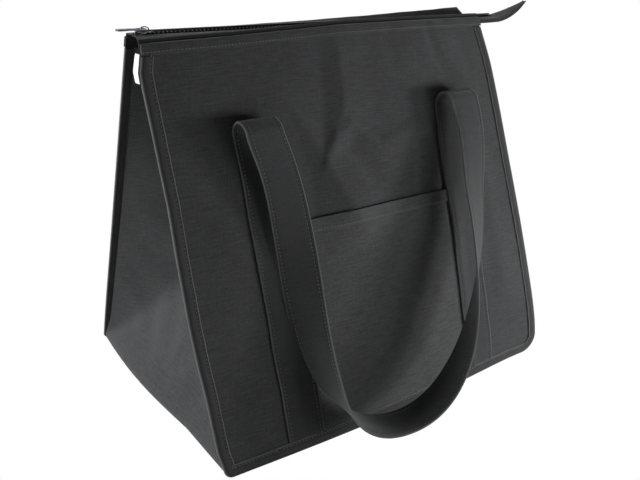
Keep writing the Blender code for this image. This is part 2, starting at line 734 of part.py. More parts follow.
def zip_slider(name, material):
    """Slider: two lipped plates joined by the nose that parts the rows, and the puller's bail."""
    start, nose_end = SLIDER_START, SLIDER_START + NOSE_LENGTH
    shape = bmesh.new()
    rings, webs = [], []
    for x in (start, nose_end):
        tops = [shape.verts.new((x, y, ZIP_Z + z)) for y, z in slider_section(1)]
        lows = [shape.verts.new((x, y, ZIP_Z + z)) for y, z in slider_section(-1)]
        rings.append((tops, lows))
        webs.append((tops[3], tops[4], lows[4], lows[3]))
    rear = []
    for level in (0, 1):
        first, second = rings[0][level], rings[1][level]
        shape.faces.new(first)
        rear.append(shape.faces.new(second[::-1]))
        for index in range(len(first)):
            before = index - 1
            if index == 4:
                continue
            shape.faces.new((first[before], first[index], second[index], second[before]))
    shape.faces.new(webs[0])
    shape.faces.new(webs[1][::-1])
    shape.faces.new((webs[0][0], webs[1][0], webs[1][3], webs[0][3]))
    shape.faces.new((webs[0][1], webs[0][2], webs[1][2], webs[1][1]))
    bmesh.ops.recalc_face_normals(shape, faces=shape.faces)
    pushed = bmesh.ops.extrude_discrete_faces(shape, faces=rear)
    moved = {vertex for face in pushed["faces"] for vertex in face.verts}
    step = Vector((SLIDER_LENGTH - NOSE_LENGTH, 0.0, 0.0))
    bmesh.ops.translate(shape, verts=list(moved), vec=step)
    slider = finish_object(name, shape, material)
    plate_top = ZIP_Z + PLATE_OUTER
    roof_low = PIVOT_Z + PULLER_CORNER + GAP
    roof_high = roof_low + BAIL_ROOF
    outer, inner = BAIL_HALF_LENGTH, BAIL_HALF_LENGTH - BAIL_POST
    arch = [
        (SLIDER_X - outer, plate_top - BAIL_ROOT),
        (SLIDER_X - inner, plate_top - BAIL_ROOT),
        (SLIDER_X - inner, roof_low),
        (SLIDER_X + inner, roof_low),
        (SLIDER_X + inner, plate_top - BAIL_ROOT),
        (SLIDER_X + outer, plate_top - BAIL_ROOT),
        (SLIDER_X + outer, roof_high - BAIL_ROOF),
        (SLIDER_X + inner, roof_high),
        (SLIDER_X - inner, roof_high),
        (SLIDER_X - outer, roof_high - BAIL_ROOF),
    ]
    points = [(x, -BAIL_HALF_WIDTH, z) for x, z in arch]
    bail = slab_object("bail_form", points, Vector(), Vector((0.0, 2 * BAIL_HALF_WIDTH, 0.0)), material)
    combine(slider, bail, "UNION", "bail")
    return slider


def zip_puller(name, material):
    """Pull tab with a window that rides round the bail, lying out past the zip's closed end."""
    half = PULLER_THICKNESS / 2
    near, far = SLIDER_X + PULLER_BAR / 2, SLIDER_X + PULLER_BAR / 2 - PULLER_LENGTH
    wide, cut = PULLER_HALF_WIDTH, PULLER_TIP_ROUND
    outline = [
        (near, -wide / 2 - cut / 2),
        (near, wide / 2 + cut / 2),
        (near - cut / 2, wide),
        (far + cut, wide),
        (far, wide - cut),
        (far, -wide + cut),
        (far + cut, -wide),
        (near - cut / 2, -wide),
    ]
    points = [(x, y, PIVOT_Z - half) for x, y in outline]
    puller = slab_object(name, points, Vector(), Vector((0.0, 0.0, PULLER_THICKNESS)), material)
    window_near = SLIDER_X - PULLER_BAR / 2
    low = (window_near - PULLER_WINDOW_LENGTH, -PULLER_WINDOW_HALF_WIDTH, PIVOT_Z - 2 * half)
    high = (window_near, PULLER_WINDOW_HALF_WIDTH, PIVOT_Z + 2 * half)
    window = box_object("puller_window", low, high, material)
    combine(puller, window, "DIFFERENCE", "window")
    return puller


def seam_tag(name, material):
    """Small bare tag hanging at the closed end of the zip, on the front wall's side."""
    top = MOUTH_HEIGHT - TAG_TOP_DROP
    x_top, x_low = (
        -half_width_at(height / math.cos(LEAN)) - GAP - TAG_CLOTH for height in (top, top - TAG_LENGTH)
    )
    outer_top = mouth_half_depth(top) - TAG_FROM_WALL
    outer_low = mouth_half_depth(top - TAG_LENGTH) - TAG_FROM_WALL
    outline = [
        (x_top, -outer_top, top),
        (x_top, -outer_top + TAG_WIDTH, top),
        (x_low, -outer_low + TAG_WIDTH, top - TAG_LENGTH),
        (x_low, -outer_low, top - TAG_LENGTH),
    ]
    return slab_object(name, outline, Vector(), Vector((TAG_CLOTH, 0.0, 0.0)), material)


def place_origin(thing, point):
    """Move an object's origin to a world point and leave its shape where it is."""
    thing.data.transform(Matrix.Translation(-point))
    thing.location = point


def hinge_empty(name, point, children):
    """An empty on a joint's axis that carries the pieces turning about it."""
    pivot = bpy.data.objects.new(name, None)
    pivot.location = point
    bpy.context.scene.collection.objects.link(pivot)
    bpy.context.view_layer.update()
    for child in children:
        child.parent = pivot
        child.matrix_parent_inverse = pivot.matrix_world.inverted()
    return pivot


def build_shell(cloth, foam):
    """Base and side gussets, which stay put."""
    level_slab("base_panel", BASE_HALF_WIDTH, BASE_HALF_DEPTH, 0.0, CLOTH, cloth)
    liner_depth = HALF_DEPTH - BASE_LINER_INSET
    level_slab("base_liner", BASE_HALF_WIDTH, liner_depth, LINING_NEAR, LINING_FAR, foam)
    for label, hand in (("left", LEFT), ("right", RIGHT)):
        gusset_cloth(label + "_gusset", hand, cloth)
        gusset_lining(label + "_gusset_liner", hand, foam)


def build_wall(label, side, cloth, foam, tape, strap, zip_tape, plastic):
    """All that swings with one wall."""
    teeth_start = STOP_START + STOP_LENGTH + GAP
    teeth_end = CHAIN_END
    if side == FRONT:
        teeth_start = SLIDER_START + SLIDER_LENGTH + GAP
        teeth_end = TOP_HALF_WIDTH
    pieces = [
        wall_panel(label + "_panel", side, cloth),
        wall_lining(label + "_liner", side, foam),
        wall_binding(label + "_binding", side, tape),
        wall_top_band(label + "_top_band", side, cloth),
        zip_half_tape(label + "_zip_tape", side, zip_tape),
        zip_teeth_row(label + "_zip_teeth", side, teeth_start, teeth_end, plastic),
        zip_stop(label + "_top_stop", side, STOP_START, plastic),
    ]
    for hand_label, hand in (("left", LEFT), ("right", RIGHT)):
        name = label + "_strap_" + hand_label
        pieces.append(sewn_strap(name, side, hand, side == FRONT, strap))
    loop = hanging_loop(label + "_handle_loop", side, strap)
    place_origin(loop, wall_point(0.0, CREST_UP, CREST_OUT, side))
    pieces.append(loop)
    return pieces


def build_bag():
    """Build every piece of the bag."""
    clear_scene()
    cloth, foam, tape = outer_cloth(), lining_foam(), binding_cloth()
    strap, zip_tape, plastic = webbing_cloth(), zip_cloth(), zip_plastic()
    build_shell(cloth, foam)
    front = build_wall("front", FRONT, cloth, foam, tape, strap, zip_tape, plastic)
    front.append(patch_pocket("front_pocket", cloth))
    front.append(seam_tag("seam_tag", tag_cloth()))
    back = build_wall("back", BACK, cloth, foam, tape, strap, zip_tape, plastic)
    back.append(zip_tail("zip_tail", zip_tape))
    back.append(zip_stop("zip_bottom_stop", BACK, CHAIN_END + GAP, plastic))
    metal = slider_metal()
    slider = zip_slider("zip_slider", metal)
    place_origin(slider, Vector((SLIDER_X, 0.0, ZIP_Z)))
    puller = zip_puller("zip_puller", metal)
    place_origin(puller, Vector((SLIDER_X, 0.0, PIVOT_Z)))
    hinge_empty("front_wall_hinge", Vector((0.0, -HALF_DEPTH, 0.0)), front)
    hinge_empty("back_wall_hinge", Vector((0.0, HALF_DEPTH, 0.0)), back)


build_bag()
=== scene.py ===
"""Photo scene of the insulated cooler tote bag: fine surfaces, materials, light and camera.

Metres, +Z up, in the frame of the CAD part. The bag's front faces -Y.
"""

from __future__ import annotations

import enum
import logging
import math
from dataclasses import dataclass, field
from typing import Callable, Iterable, Sequence

import bmesh
import bpy
import numpy as np
from mathutils import Matrix, Vector


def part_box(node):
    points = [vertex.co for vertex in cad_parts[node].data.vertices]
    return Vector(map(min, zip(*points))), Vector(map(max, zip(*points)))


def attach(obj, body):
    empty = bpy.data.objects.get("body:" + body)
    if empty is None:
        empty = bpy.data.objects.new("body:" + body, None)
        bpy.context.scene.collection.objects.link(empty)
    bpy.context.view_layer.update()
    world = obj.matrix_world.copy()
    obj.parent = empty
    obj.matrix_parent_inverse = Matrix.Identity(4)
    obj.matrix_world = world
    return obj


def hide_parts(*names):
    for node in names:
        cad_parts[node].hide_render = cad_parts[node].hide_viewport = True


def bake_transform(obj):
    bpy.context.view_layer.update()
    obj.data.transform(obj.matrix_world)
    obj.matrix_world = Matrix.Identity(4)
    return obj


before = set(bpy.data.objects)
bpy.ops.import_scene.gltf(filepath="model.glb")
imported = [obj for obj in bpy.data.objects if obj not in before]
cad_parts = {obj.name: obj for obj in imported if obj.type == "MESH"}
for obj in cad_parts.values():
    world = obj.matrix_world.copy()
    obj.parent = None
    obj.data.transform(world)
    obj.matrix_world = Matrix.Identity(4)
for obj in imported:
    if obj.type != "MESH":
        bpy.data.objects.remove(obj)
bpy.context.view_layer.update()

log = logging.getLogger("tote")
Grid = np.ndarray


class Side(enum.IntEnum):
    """A wall of the bag, by the sign of its Y."""

    FRONT = -1
    BACK = 1

    @property
    def label(self) -> str:
        """Word that starts the names of this side's pieces."""
        return self.name.lower()

    @property
    def wall(self) -> str:
        """CAD body of this side's wall."""
        return self.label + "_wall"


class Hand(enum.IntEnum):
    """A half of the bag, by the sign of its X."""

    LEFT = -1
    RIGHT = 1

    @property
    def label(self) -> str:
        """Word for this hand in the names of pieces."""
        return self.name.lower()


# ---------------------------------------------------------------- sizes


def smooth(share: Grid) -> Grid:
    """Ease a share from nought to one."""
    held = np.clip(share, 0.0, 1.0)
    return held * held * (3 - 2 * held)


def stacked(*parts: Grid) -> Grid:
    """Parts that broadcast together, stacked along a new last axis."""
    return np.stack(np.broadcast_arrays(*parts), axis=-1)


def lengths(line: Grid) -> Grid:
    """Length of a line from its start to each of its points."""
    steps = np.linalg.norm(np.diff(line, axis=0), axis=1)
    return np.concatenate([[0.0], np.cumsum(steps)])


def rectangle(x0: float, y0: float, x1: float, y1: float) -> list[tuple[float, float]]:
    """Outline of a rectangle between two opposite corners."""
    return [(x0, y0), (x1, y0), (x1, y1), (x0, y1)]


@dataclass(frozen=True)
class BagForm:
    """Main sizes of the bag, in metres."""

    width: float = 0.330
    depth: float = 0.241
    height: float = 0.290
    mouth_half_gap: float = 0.015
    top_half_width: float = 0.162
    corner_left: float = 0.006
    corner_right: float = 0.016
    cloth: float = 0.0009
    foam: float = 0.0022
    gap: float = 0.0003
    hem_lift: float = 0.0008
    binding_width: float = 0.009
    zip_rise: float = 0.0025

    @property
    def lean(self) -> float:
        """Angle by which a wall leans in, in radians."""
        return math.atan2(self.depth / 2 - self.mouth_half_gap, self.height)

    @property
    def slope(self) -> float:
        """Length of a wall up its slope."""
        return math.hypot(self.depth / 2 - self.mouth_half_gap, self.height)

    @property
    def zip_z(self) -> float:
        """Height of the zip's middle plane."""
        return self.height + self.zip_rise

    def half_width(self, up: Grid) -> Grid:
        """Half width of a wall at a height up the slope."""
        return self.width / 2 - (self.width / 2 - self.top_half_width) * up / self.slope

    def wall(self, across: Grid, up: Grid, out: Grid, side: Side) -> Grid:
        """World points of a wall.

        Args:
            across: Sideways places.
            up: Heights up the slope.
            out: Standoffs from the outer face.
            side: Which wall.

        Returns:
            An array of points, one more axis than the inputs.
        """
        up, out = np.asarray(up, float), np.asarray(out, float)
        depth = self.depth / 2 - up * math.sin(self.lean) + out * math.cos(self.lean)
        height = up * math.cos(self.lean) + out * math.sin(self.lean)
        return stacked(np.asarray(across, float), int(side) * depth, height)

    def outward(self, side: Side) -> Grid:
        """Unit direction that faces out of a wall."""
        return self.wall(0.0, 0.0, 1.0, side) - self.wall(0.0, 0.0, 0.0, side)

    def corner(self, hand: Hand) -> float:
        """Radius of a lower corner."""
        return self.corner_left if hand is Hand.LEFT else self.corner_right


FORM = BagForm()


@dataclass(frozen=True)
class Slump:
    """Soft sag of the standing bag: sides and foot bulge, the mouth's edges lift unevenly."""

    side_bulge: float = 0.0062
    front_bulge: float = 0.0056
    foot_front: float = 0.0058
    foot_left: float = 0.0052
    corner_pull: float = 0.0030
    strap_place: float = 0.094
    strap_reach: float = 0.055
    foot_fade: float = 0.07
    foot_rise: float = 0.16
    bulge_middle: float = -0.02
    bulge_reach: float = 0.150
    hump_middle: float = 0.035
    hump_reach: float = 0.088
    seam_gap: float = 0.004
    foot_hold: float = 0.012
    edge_hold: float = 0.04
    edge_start: float = 0.116
    edge_reach: float = 0.045
    lift_start: float = 0.55
    lift_reach: float = 0.008
    shear_heights: tuple[float, ...] = (0.0, 0.06, 0.45, 0.80, 1.0)
    right_shear: tuple[float, ...] = (-0.0050, -0.0050, 0.0005, 0.0075, 0.0020)
    left_shear: tuple[float, ...] = (-0.0028, -0.0028, -0.0010, 0.0, 0.0)
    edge_heights: tuple[float, ...] = (
        *(0.0, 0.01, 0.02, 0.058, 0.078, 0.106),
        *(0.153, 0.185, 0.235, 0.262, 0.272, 0.285),
    )
    edge_shift: tuple[float, ...] = (
        *(0.0, -0.0010, -0.0030, -0.0040, -0.0053, -0.0061),
        *(-0.0058, -0.0048, -0.0056, -0.0063, -0.0060, -0.0020),
    )
    lift_places: tuple[float, ...] = (-0.162, -0.11, -0.04, 0.0, 0.04, 0.10, 0.165)
    front_lift: tuple[float, ...] = (-0.0016, -0.0003, 0.0022, 0.0040, 0.0043, 0.0045, 0.0046)
    back_lift: tuple[float, ...] = (0.0000, 0.0008, 0.0020, 0.0028, 0.0040, 0.0060, 0.0082)

    def __call__(self, points: Grid) -> Grid:
        """Shift points of the bag's cloth.

        Args:
            points: World points of the evenly built bag.

        Returns:
            The points after the bag has settled.
        """
        x, y, z = points[..., 0], points[..., 1], points[..., 2]
        share = np.clip(z / FORM.height, 0.0, 1.0)
        edge = FORM.depth / 2 - (FORM.depth / 2 - FORM.mouth_half_gap) * share
        depth = np.clip(y / edge, -1.15, 1.15)
        body = (1 - np.exp(-share / self.foot_fade)) * (1 - share**3.0)
        right = smooth(x / (FORM.width / 2))
        left = np.clip(-x / (FORM.width / 2), 0.0, 1.0) ** 2
        middle = self.arch((x - self.bulge_middle) / self.bulge_reach) ** 1.2
        hump = self.arch((y - self.hump_middle) / self.hump_reach)
        foot = self.foot_left * hump * left * np.exp(-share / self.foot_rise)
        dx = self.side_bulge * body * right - foot
        top = smooth((share - 0.85) / 0.15) * (np.abs(y) > self.seam_gap)
        dx = dx - self.corner_pull * right * top
        near_strap = np.exp(-(((np.abs(x) - self.strap_place) / self.strap_reach) ** 4))
        inside = FORM.half_width(z / math.cos(FORM.lean)) - np.abs(x)
        edges = smooth(inside / self.edge_hold)
        shear = np.where(
            x > 0,
            np.interp(share, self.shear_heights, self.right_shear),
            np.interp(share, self.shear_heights, self.left_shear),
        )
        dx = dx + shear * near_strap * edges * smooth(z / self.foot_hold)
        near_edge = smooth((-x - self.edge_start) / self.edge_reach)
        near_edge = near_edge * smooth((-depth - 0.25) / 0.6)
        dx = dx + np.interp(z, self.edge_heights, self.edge_shift) * near_edge
        bulge = self.front_bulge * body * right
        dy = depth * (bulge + self.foot_front * middle * (1 - share) ** 1.2)
        rise = smooth((share - self.lift_start) / (1 - self.lift_start))
        rise = rise * smooth((np.abs(y) - self.seam_gap) / self.lift_reach)
        front = np.interp(x, self.lift_places, self.front_lift)
        back = np.interp(x, self.lift_places, self.back_lift)
        dz = rise * np.where(y < 0, front, back)
        return points + stacked(dx, dy, dz)

    @staticmethod
    def arch(share: Grid) -> Grid:
        """Half a cosine wave, 1 at nought and 0 from one on."""
        return np.cos(np.clip(share, -1.0, 1.0) * math.pi / 2)


SLUMP = Slump()


@dataclass(frozen=True)
class Crease:
    """A folded ridge along a bent line, with a flat facet on each side.

    It is a valley if its rises are negative.

    Each knot holds its place across and up the wall, its rise, and the breadths of the
    facets on the left and on the right hand of someone who walks along the line.
    """

    knots: tuple[tuple[float, float, float, float, float], ...]
    blunt: float = 0.0010
    foot_blunt: float = 0.10
    turn_reach: float = 0.002

    def relief(self, across: Grid, up: Grid) -> Grid:
        """Standoff that the fold adds at each place."""
        across, up = np.broadcast_arrays(np.asarray(across, float), np.asarray(up, float))
        best = np.full(across.shape, np.inf)
        total = np.zeros(across.shape)
        for first, last in zip(self.knots[:-1], self.knots[1:]):
            begin, finish = np.array(first), np.array(last)
            run = finish[:2] - begin[:2]
            length = float(np.hypot(*run))
            along = ((across - begin[0]) * run[0] + (up - begin[1]) * run[1]) / length**2
            off = ((across - begin[0]) * run[1] - (up - begin[1]) * run[0]) / length
            held = np.clip(along, 0.0, 1.0)
            reach = np.hypot(off, (along - held) * length)
            rise, left, right = (begin[k] + (finish[k] - begin[k]) * held for k in (2, 3, 4))
            turn = smooth(off / self.turn_reach + 0.5)
            breadth = left + (right - left) * turn
            slack = 1 - (np.hypot(reach, self.blunt) - self.blunt) / breadth
            full = 1 + math.hypot(1.0, self.foot_blunt)
            tent = (slack + np.hypot(slack, self.foot_blunt)) / full
            nearer = reach < best
            total = np.where(nearer, rise * tent, total)
            best = np.where(nearer, reach, best)
        return total


@dataclass(frozen=True)
class WallRelief:
    """Creases and slow waves of a cloth wall, flat again at its sewn edges."""

    creases: tuple[Crease, ...]
    wave: float
    phase: float
    side_hold: float = 0.045
    top_hold: float = 0.018
    foot_hold: float = 0.05

    def __call__(self, across: Grid, up: Grid) -> Grid:
        """Standoff of the outer cloth at each place."""
        across, up = np.asarray(across, float), np.asarray(up, float)
        total = np.zeros(np.broadcast(across, up).shape)
        for crease in self.creases:
            total = total + crease.relief(across, up)
        p = self.phase
        total = total + self.wave * (
            np.sin(31.0 * across + 17.0 * up + p) * np.sin(23.0 * up - 9.0 * across + 2.0 * p)
            + 0.5 * np.sin(58.0 * across - 37.0 * up + 3.0 * p)
            + 0.28 * np.sin(120.0 * up + 47.0 * across + p)
        )
        side = smooth((FORM.half_width(up) - np.abs(across)) / self.side_hold)
        top = np.clip((FORM.slope - up) / self.top_hold, 0.0, 1.0)
        foot = np.clip(up / self.foot_hold, 0.0, 1.0)
        return total * side * (0.25 + 0.75 * top) * foot


# ---------------------------------------------------------------- shader maths


def joining(operation: str, swapped: bool = False) -> Callable[["Sock", object], "Sock"]:
    """A method of Sock that joins it with another value in one maths node.

    Args:
        operation: Blender's name of the operation.
        swapped: Whether the other value comes first.

    Returns:
        The method.
    """

    def method(self: "Sock", other: object) -> "Sock":
        """Join the two values."""
        first, second = (other, self) if swapped else (self, other)
        return self.maths(operation, first, second)

    return method


class Sock:
    """A shader output that can be used in sums."""

    __add__ = joining("ADD")
    __radd__ = joining("ADD", swapped=True)
    __sub__ = joining("SUBTRACT")
    __rsub__ = joining("SUBTRACT", swapped=True)
    __mul__ = joining("MULTIPLY")
    __rmul__ = joining("MULTIPLY", swapped=True)
    __truediv__ = joining("DIVIDE")
    above = joining("GREATER_THAN")
    most = joining("MAXIMUM")

    def __init__(self, graph: "Tree", socket: bpy.types.NodeSocket) -> None:
        self.graph = graph
        self.socket = socket

    def maths(self, operation: str, *values: object) -> "Sock":
        """A maths node of one or two values."""
        return self.graph.node("ShaderNodeMath", dict(enumerate(values)), operation=operation)

    def sine(self) -> "Sock":
        """Sine of this value."""
        return self.maths("SINE", self)

    def size(self) -> "Sock":
        """This value without its sign."""
        return self.maths("ABSOLUTE", self)

    def clamped(self) -> "Sock":
        """This value held between nought and one."""
        return self.graph.node("ShaderNodeClamp", {"Value": self})


class Tree:
    """A node tree, with one method that makes every node."""

    def __init__(self, tree: bpy.types.NodeTree) -> None:
        self.tree = tree
        self.tree.nodes.clear()

    def node(
        self, kind: str, inputs: dict | None = None, output: object = 0, **settings: object
    ) -> Sock:
        """Make a node.

        Args:
            kind: Blender's name of the node type.
            inputs: Values or sockets, by input name or number.
            output: Name or number of the output to hand back.
            **settings: Attributes of the node.

        Returns:
            The chosen output, empty for a node that ends the tree.
        """
        made = self.tree.nodes.new(kind)
        for name, value in settings.items():
            setattr(made, name, value)
        for key, value in (inputs or {}).items():
            if isinstance(value, Sock):
                self.tree.links.new(value.socket, made.inputs[key])
            else:
                made.inputs[key].default_value = value
        return Sock(self, made.outputs[output] if made.outputs else None)

    def bright(self) -> Sock:
        """One for rays of the camera, off gloss or through glass, else nought."""
        camera, glossy, through = (
            self.node("ShaderNodeLightPath", output=f"Is {kind} Ray")
            for kind in ("Camera", "Glossy", "Transmission")
        )
        return camera.most(glossy).most(through)


class Graph(Tree):
    """A material's node tree."""

    def __init__(self, name: str) -> None:
        self.material = bpy.data.materials.new(name)
        self.material.use_nodes = True
        super().__init__(self.material.node_tree)

    def part(self, vector: Sock, axis: int) -> Sock:
        """One part of a vector, 0 to 2."""
        return self.node("ShaderNodeSeparateXYZ", {"Vector": vector}, output=axis)

    def uv(self) -> Sock:
        """The cloth's own coordinates, in metres across and along the weave."""
        return self.node("ShaderNodeUVMap", uv_map="weave")

    def place(self) -> Sock:
        """Place in the object, in metres."""
        return self.node("ShaderNodeTexCoord", output="Object")

    def scaled(self, vector: Sock, scale: Sequence[float]) -> Sock:
        """A vector times a constant on each axis."""
        values = {0: vector, 1: tuple(scale)}
        return self.node("ShaderNodeVectorMath", values, operation="MULTIPLY")

    def noise(self, vector: Sock, scale: float, detail: float = 3.0, rough: float = 0.55) -> Sock:
        """Fractal noise from nought to one."""
        values = {"Vector": vector, "Scale": scale, "Detail": detail, "Roughness": rough}
        return self.node("ShaderNodeTexNoise", values)

    def blend(self, share: object, first: object, second: Sequence[float]) -> Sock:
        """Mix of two colours by a share."""
        first = first if isinstance(first, Sock) else (*first, 1.0)
        values = {0: share, 6: first, 7: (*second, 1.0)}
        return self.node("ShaderNodeMix", values, output=2, data_type="RGBA")

    def seamed(self, colour: Sock, across: Sock, rim: "Rim") -> Sock:
        """A tape's colour with painted highlights along its rims and painted shade in its seam
        groove.

        Args:
            colour: Colour of the tape.
            across: Place across the tape.
            rim: Where the rims and the seam lie.

        Returns:
            The changed colour.
        """
        # Painted highlight: the rims are lightened where light catches the folded edges.
        inner = rim.half - rim.breadth
        share = ((rim.middle - across - inner) / rim.fade).clamped() * rim.low
        share = share + ((across - rim.middle - inner) / rim.fade).clamped() * rim.high
        pale = self.blend(share, colour, rim.pale)
        # Painted shade: the seam groove is darkened where shade falls in it.
        off = rim.half - rim.seam - (across - rim.middle).size()
        groove = (1.0 - off.size() / rim.groove).clamped()
        return self.blend(groove * 0.75, pale, rim.dark)

    def bump(self, height: Sock, strength: float, distance: float) -> Sock:
        """A bumped normal."""
        values = {"Height": height, "Strength": strength, "Distance": distance}
        return self.node("ShaderNodeBump", values)

    def surface(self, **values: object) -> bpy.types.Material:
        """Finish the material with one Principled shader, its inputs by name with _ for spaces."""
        named = {key.replace("_", " "): value for key, value in values.items()}
        shader = self.node("ShaderNodeBsdfPrincipled", named)
        self.node("ShaderNodeOutputMaterial", {"Surface": shader})
        return self.material


# ---------------------------------------------------------------- finishes

CLOTH_SPECULAR = 0.08


@dataclass(frozen=True)
class Rim:
    """Painted highlights on the rims and painted shade in the seam groove of a strap or a tape, by
    place across it in metres.
    """

    middle: float
    half: float
    # low and high: strength of the painted highlight on each rim.
    low: float
    high: float
    seam: float
    breadth: float = 0.0010
    fade: float = 0.0005
    # Half width of the painted shade in the seam groove.
    groove: float = 0.0007
    # Colour of the painted highlight on the rims.
    pale: tuple[float, float, float] = (0.120, 0.120, 0.122)
    # Colour of the painted shade in the seam groove.
    dark: tuple[float, float, float] = (0.010, 0.010, 0.011)


@dataclass(frozen=True)
class WovenCloth:
    """Plain-weave cloth with uneven weft threads that show as fine streaks."""

    name: str
    dark: tuple[float, float, float]
    light: tuple[float, float, float]
    thread: float = 0.00055
    slub: float = 0.5
    roughness: float = 0.78
    sheen: float = 0.25
    relief: float = 0.00012
    rim: Rim | None = None

    def material(self) -> bpy.types.Material:
        """Build the material."""
        g = Graph(self.name)
        uv = g.uv()
        u, v = g.part(uv, 0), g.part(uv, 1)
        turn = math.pi / self.thread
        warp, weft = (u * turn).sine(), (v * turn).sine()
        over = (warp * weft).above(0.0)
        threads = (warp.size() * over) + (weft.size() * (1.0 - over))
        streak = g.noise(g.scaled(uv, (70.0, 900.0, 1.0)), 1.0, 3.0, 0.7)
        cross = g.noise(g.scaled(uv, (900.0, 110.0, 1.0)), 1.0, 3.0, 0.7)
        cloud = g.noise(g.scaled(uv, (16.0, 16.0, 1.0)), 1.0, 3.0)
        fleck = g.noise(g.scaled(uv, (900.0, 900.0, 1.0)), 1.0, 1.0)
        tone = (streak - 0.5) * (2.8 * self.slub) + (cross - 0.5) * (1.6 * self.slub)
        tone = tone + (cloud - 0.5) * 0.5 + (fleck - 0.5) * 0.7 + threads * 0.12
        colour = g.blend((tone + 0.42).clamped(), self.dark, self.light)
        # Painted highlights on the rims and painted shade in the seam groove.
        if self.rim:
            colour = g.seamed(colour, u, self.rim)
        height = threads * 0.5 + streak * 0.8 + cross * 0.35
        normal = g.bump(height, 0.55, self.relief)
        rough = (self.roughness + (cloud - 0.5) * 0.12).clamped()
        return g.surface(
            Base_Color=colour,
            Roughness=rough,
            Normal=normal,
            Sheen_Weight=self.sheen,
            Sheen_Roughness=0.45,
            Specular_IOR_Level=CLOTH_SPECULAR,
        )


@dataclass(frozen=True)
class RibbedTape:
    """Woven tape with ribs along its length and a herringbone trace across."""

    name: str
    dark: tuple[float, float, float]
    light: tuple[float, float, float]
    rib: float = 0.0008
    roughness: float = 0.7
    sheen: float = 0.2
    rim: Rim | None = None

    def material(self) -> bpy.types.Material:
        """Build the material."""
        g = Graph(self.name)
        uv = g.uv()
        u, v = g.part(uv, 0), g.part(uv, 1)
        ribs = (u * (math.pi / self.rib)).sine().size()
        bars = (v * (math.pi / self.rib * 1.3)).sine().size()
        cloud = g.noise(g.scaled(uv, (70.0, 70.0, 1.0)), 1.0, 3.0)
        tone = ribs * 0.35 + bars * 0.15 + (cloud - 0.5) * 0.5 + 0.2
        normal = g.bump(ribs * 0.8 + bars * 0.4 + cloud * 0.5, 0.5, 0.00012)
        colour = g.blend(tone.clamped(), self.dark, self.light)
        # Painted highlights on the rims and painted shade in the seam groove.
        if self.rim:
            colour = g.seamed(colour, u, self.rim)
        return g.surface(
            Base_Color=colour,
            Roughness=(self.roughness + (cloud - 0.5) * 0.15).clamped(),
            Normal=normal,
            Sheen_Weight=self.sheen,
            Specular_IOR_Level=CLOTH_SPECULAR,
        )


@dataclass(frozen=True)
class FoilFoam:
    """Crinkled metallised foil bonded to a thin foam."""

    name: str = "foil_lining"

    def material(self) -> bpy.types.Material:
        """Build the material."""
        g = Graph(self.name)
        place = g.place()
        crinkle = g.noise(place, 90.0, 5.0, 0.65)
        cells = g.node("ShaderNodeTexVoronoi", {"Vector": place, "Scale": 260.0})
        dull = g.noise(place, 12.0, 3.0)
        normal = g.bump(crinkle * 1.0 + cells * 0.25, 0.6, 0.0009)
        return g.surface(
            Base_Color=g.blend(dull, (0.55, 0.56, 0.58), (0.80, 0.80, 0.81)),
            Roughness=(0.22 + dull * 0.28).clamped(),
            Metallic=(0.75 + (dull - 0.5) * 0.2).clamped(),
            Normal=normal,
        )


@dataclass(frozen=True)
class MouldedPlastic:
    """Semi-gloss moulded plastic with faint flow marks."""

    name: str
    dark: tuple[float, float, float]
    light: tuple[float, float, float]
    roughness: float = 0.38

    def material(self) -> bpy.types.Material:
        """Build the material."""
        g = Graph(self.name)
        place = g.place()
        cloud = g.noise(place, 160.0, 3.0)
        grain = g.noise(place, 2600.0, 2.0)
        return g.surface(
            Base_Color=g.blend(cloud, self.dark, self.light),
            Roughness=(self.roughness + (cloud - 0.5) * 0.2).clamped(),
            Normal=g.bump(grain, 0.25, 0.00004),
            Specular_IOR_Level=0.15,
        )


@dataclass(frozen=True)
class LacqueredMetal:
    """Die-cast metal under a thin dark lacquer, rubbed brighter in spots."""

    name: str = "slider_metal"

    def material(self) -> bpy.types.Material:
        """Build the material."""
        g = Graph(self.name)
        place = g.place()
        wear = g.noise(place, 420.0, 4.0)
        rubbed = ((wear - 0.62) * 6.0).clamped()
        return g.surface(
            Base_Color=g.blend(rubbed, (0.016, 0.018, 0.026), (0.10, 0.11, 0.13)),
            Metallic=(0.55 + rubbed * 0.4).clamped(),
            Roughness=(0.30 + wear * 0.2).clamped(),
            Coat_Weight=0.4,
            Coat_Roughness=0.2,
            Normal=g.bump(wear, 0.2, 0.00005),
        )


@dataclass(frozen=True)
class SewingThread:
    """Twisted polyester thread."""

    name: str
    dark: tuple[float, float, float]
    light: tuple[float, float, float]

    def material(self) -> bpy.types.Material:
        """Build the material."""
        g = Graph(self.name)
        place = g.place()
        x, y, z = (g.part(place, axis) for axis in range(3))
        twist = ((x + y + z) * 9000.0).sine() * 0.5 + 0.5
        tone = g.noise(place, 300.0, 2.0)
        return g.surface(
            Base_Color=g.blend((twist * 0.6 + tone * 0.4).clamped(), self.dark, self.light),
            Roughness=(0.5 + tone * 0.15).clamped(),
            Normal=g.bump(twist, 0.3, 0.00006),
            Sheen_Weight=0.2,
        )


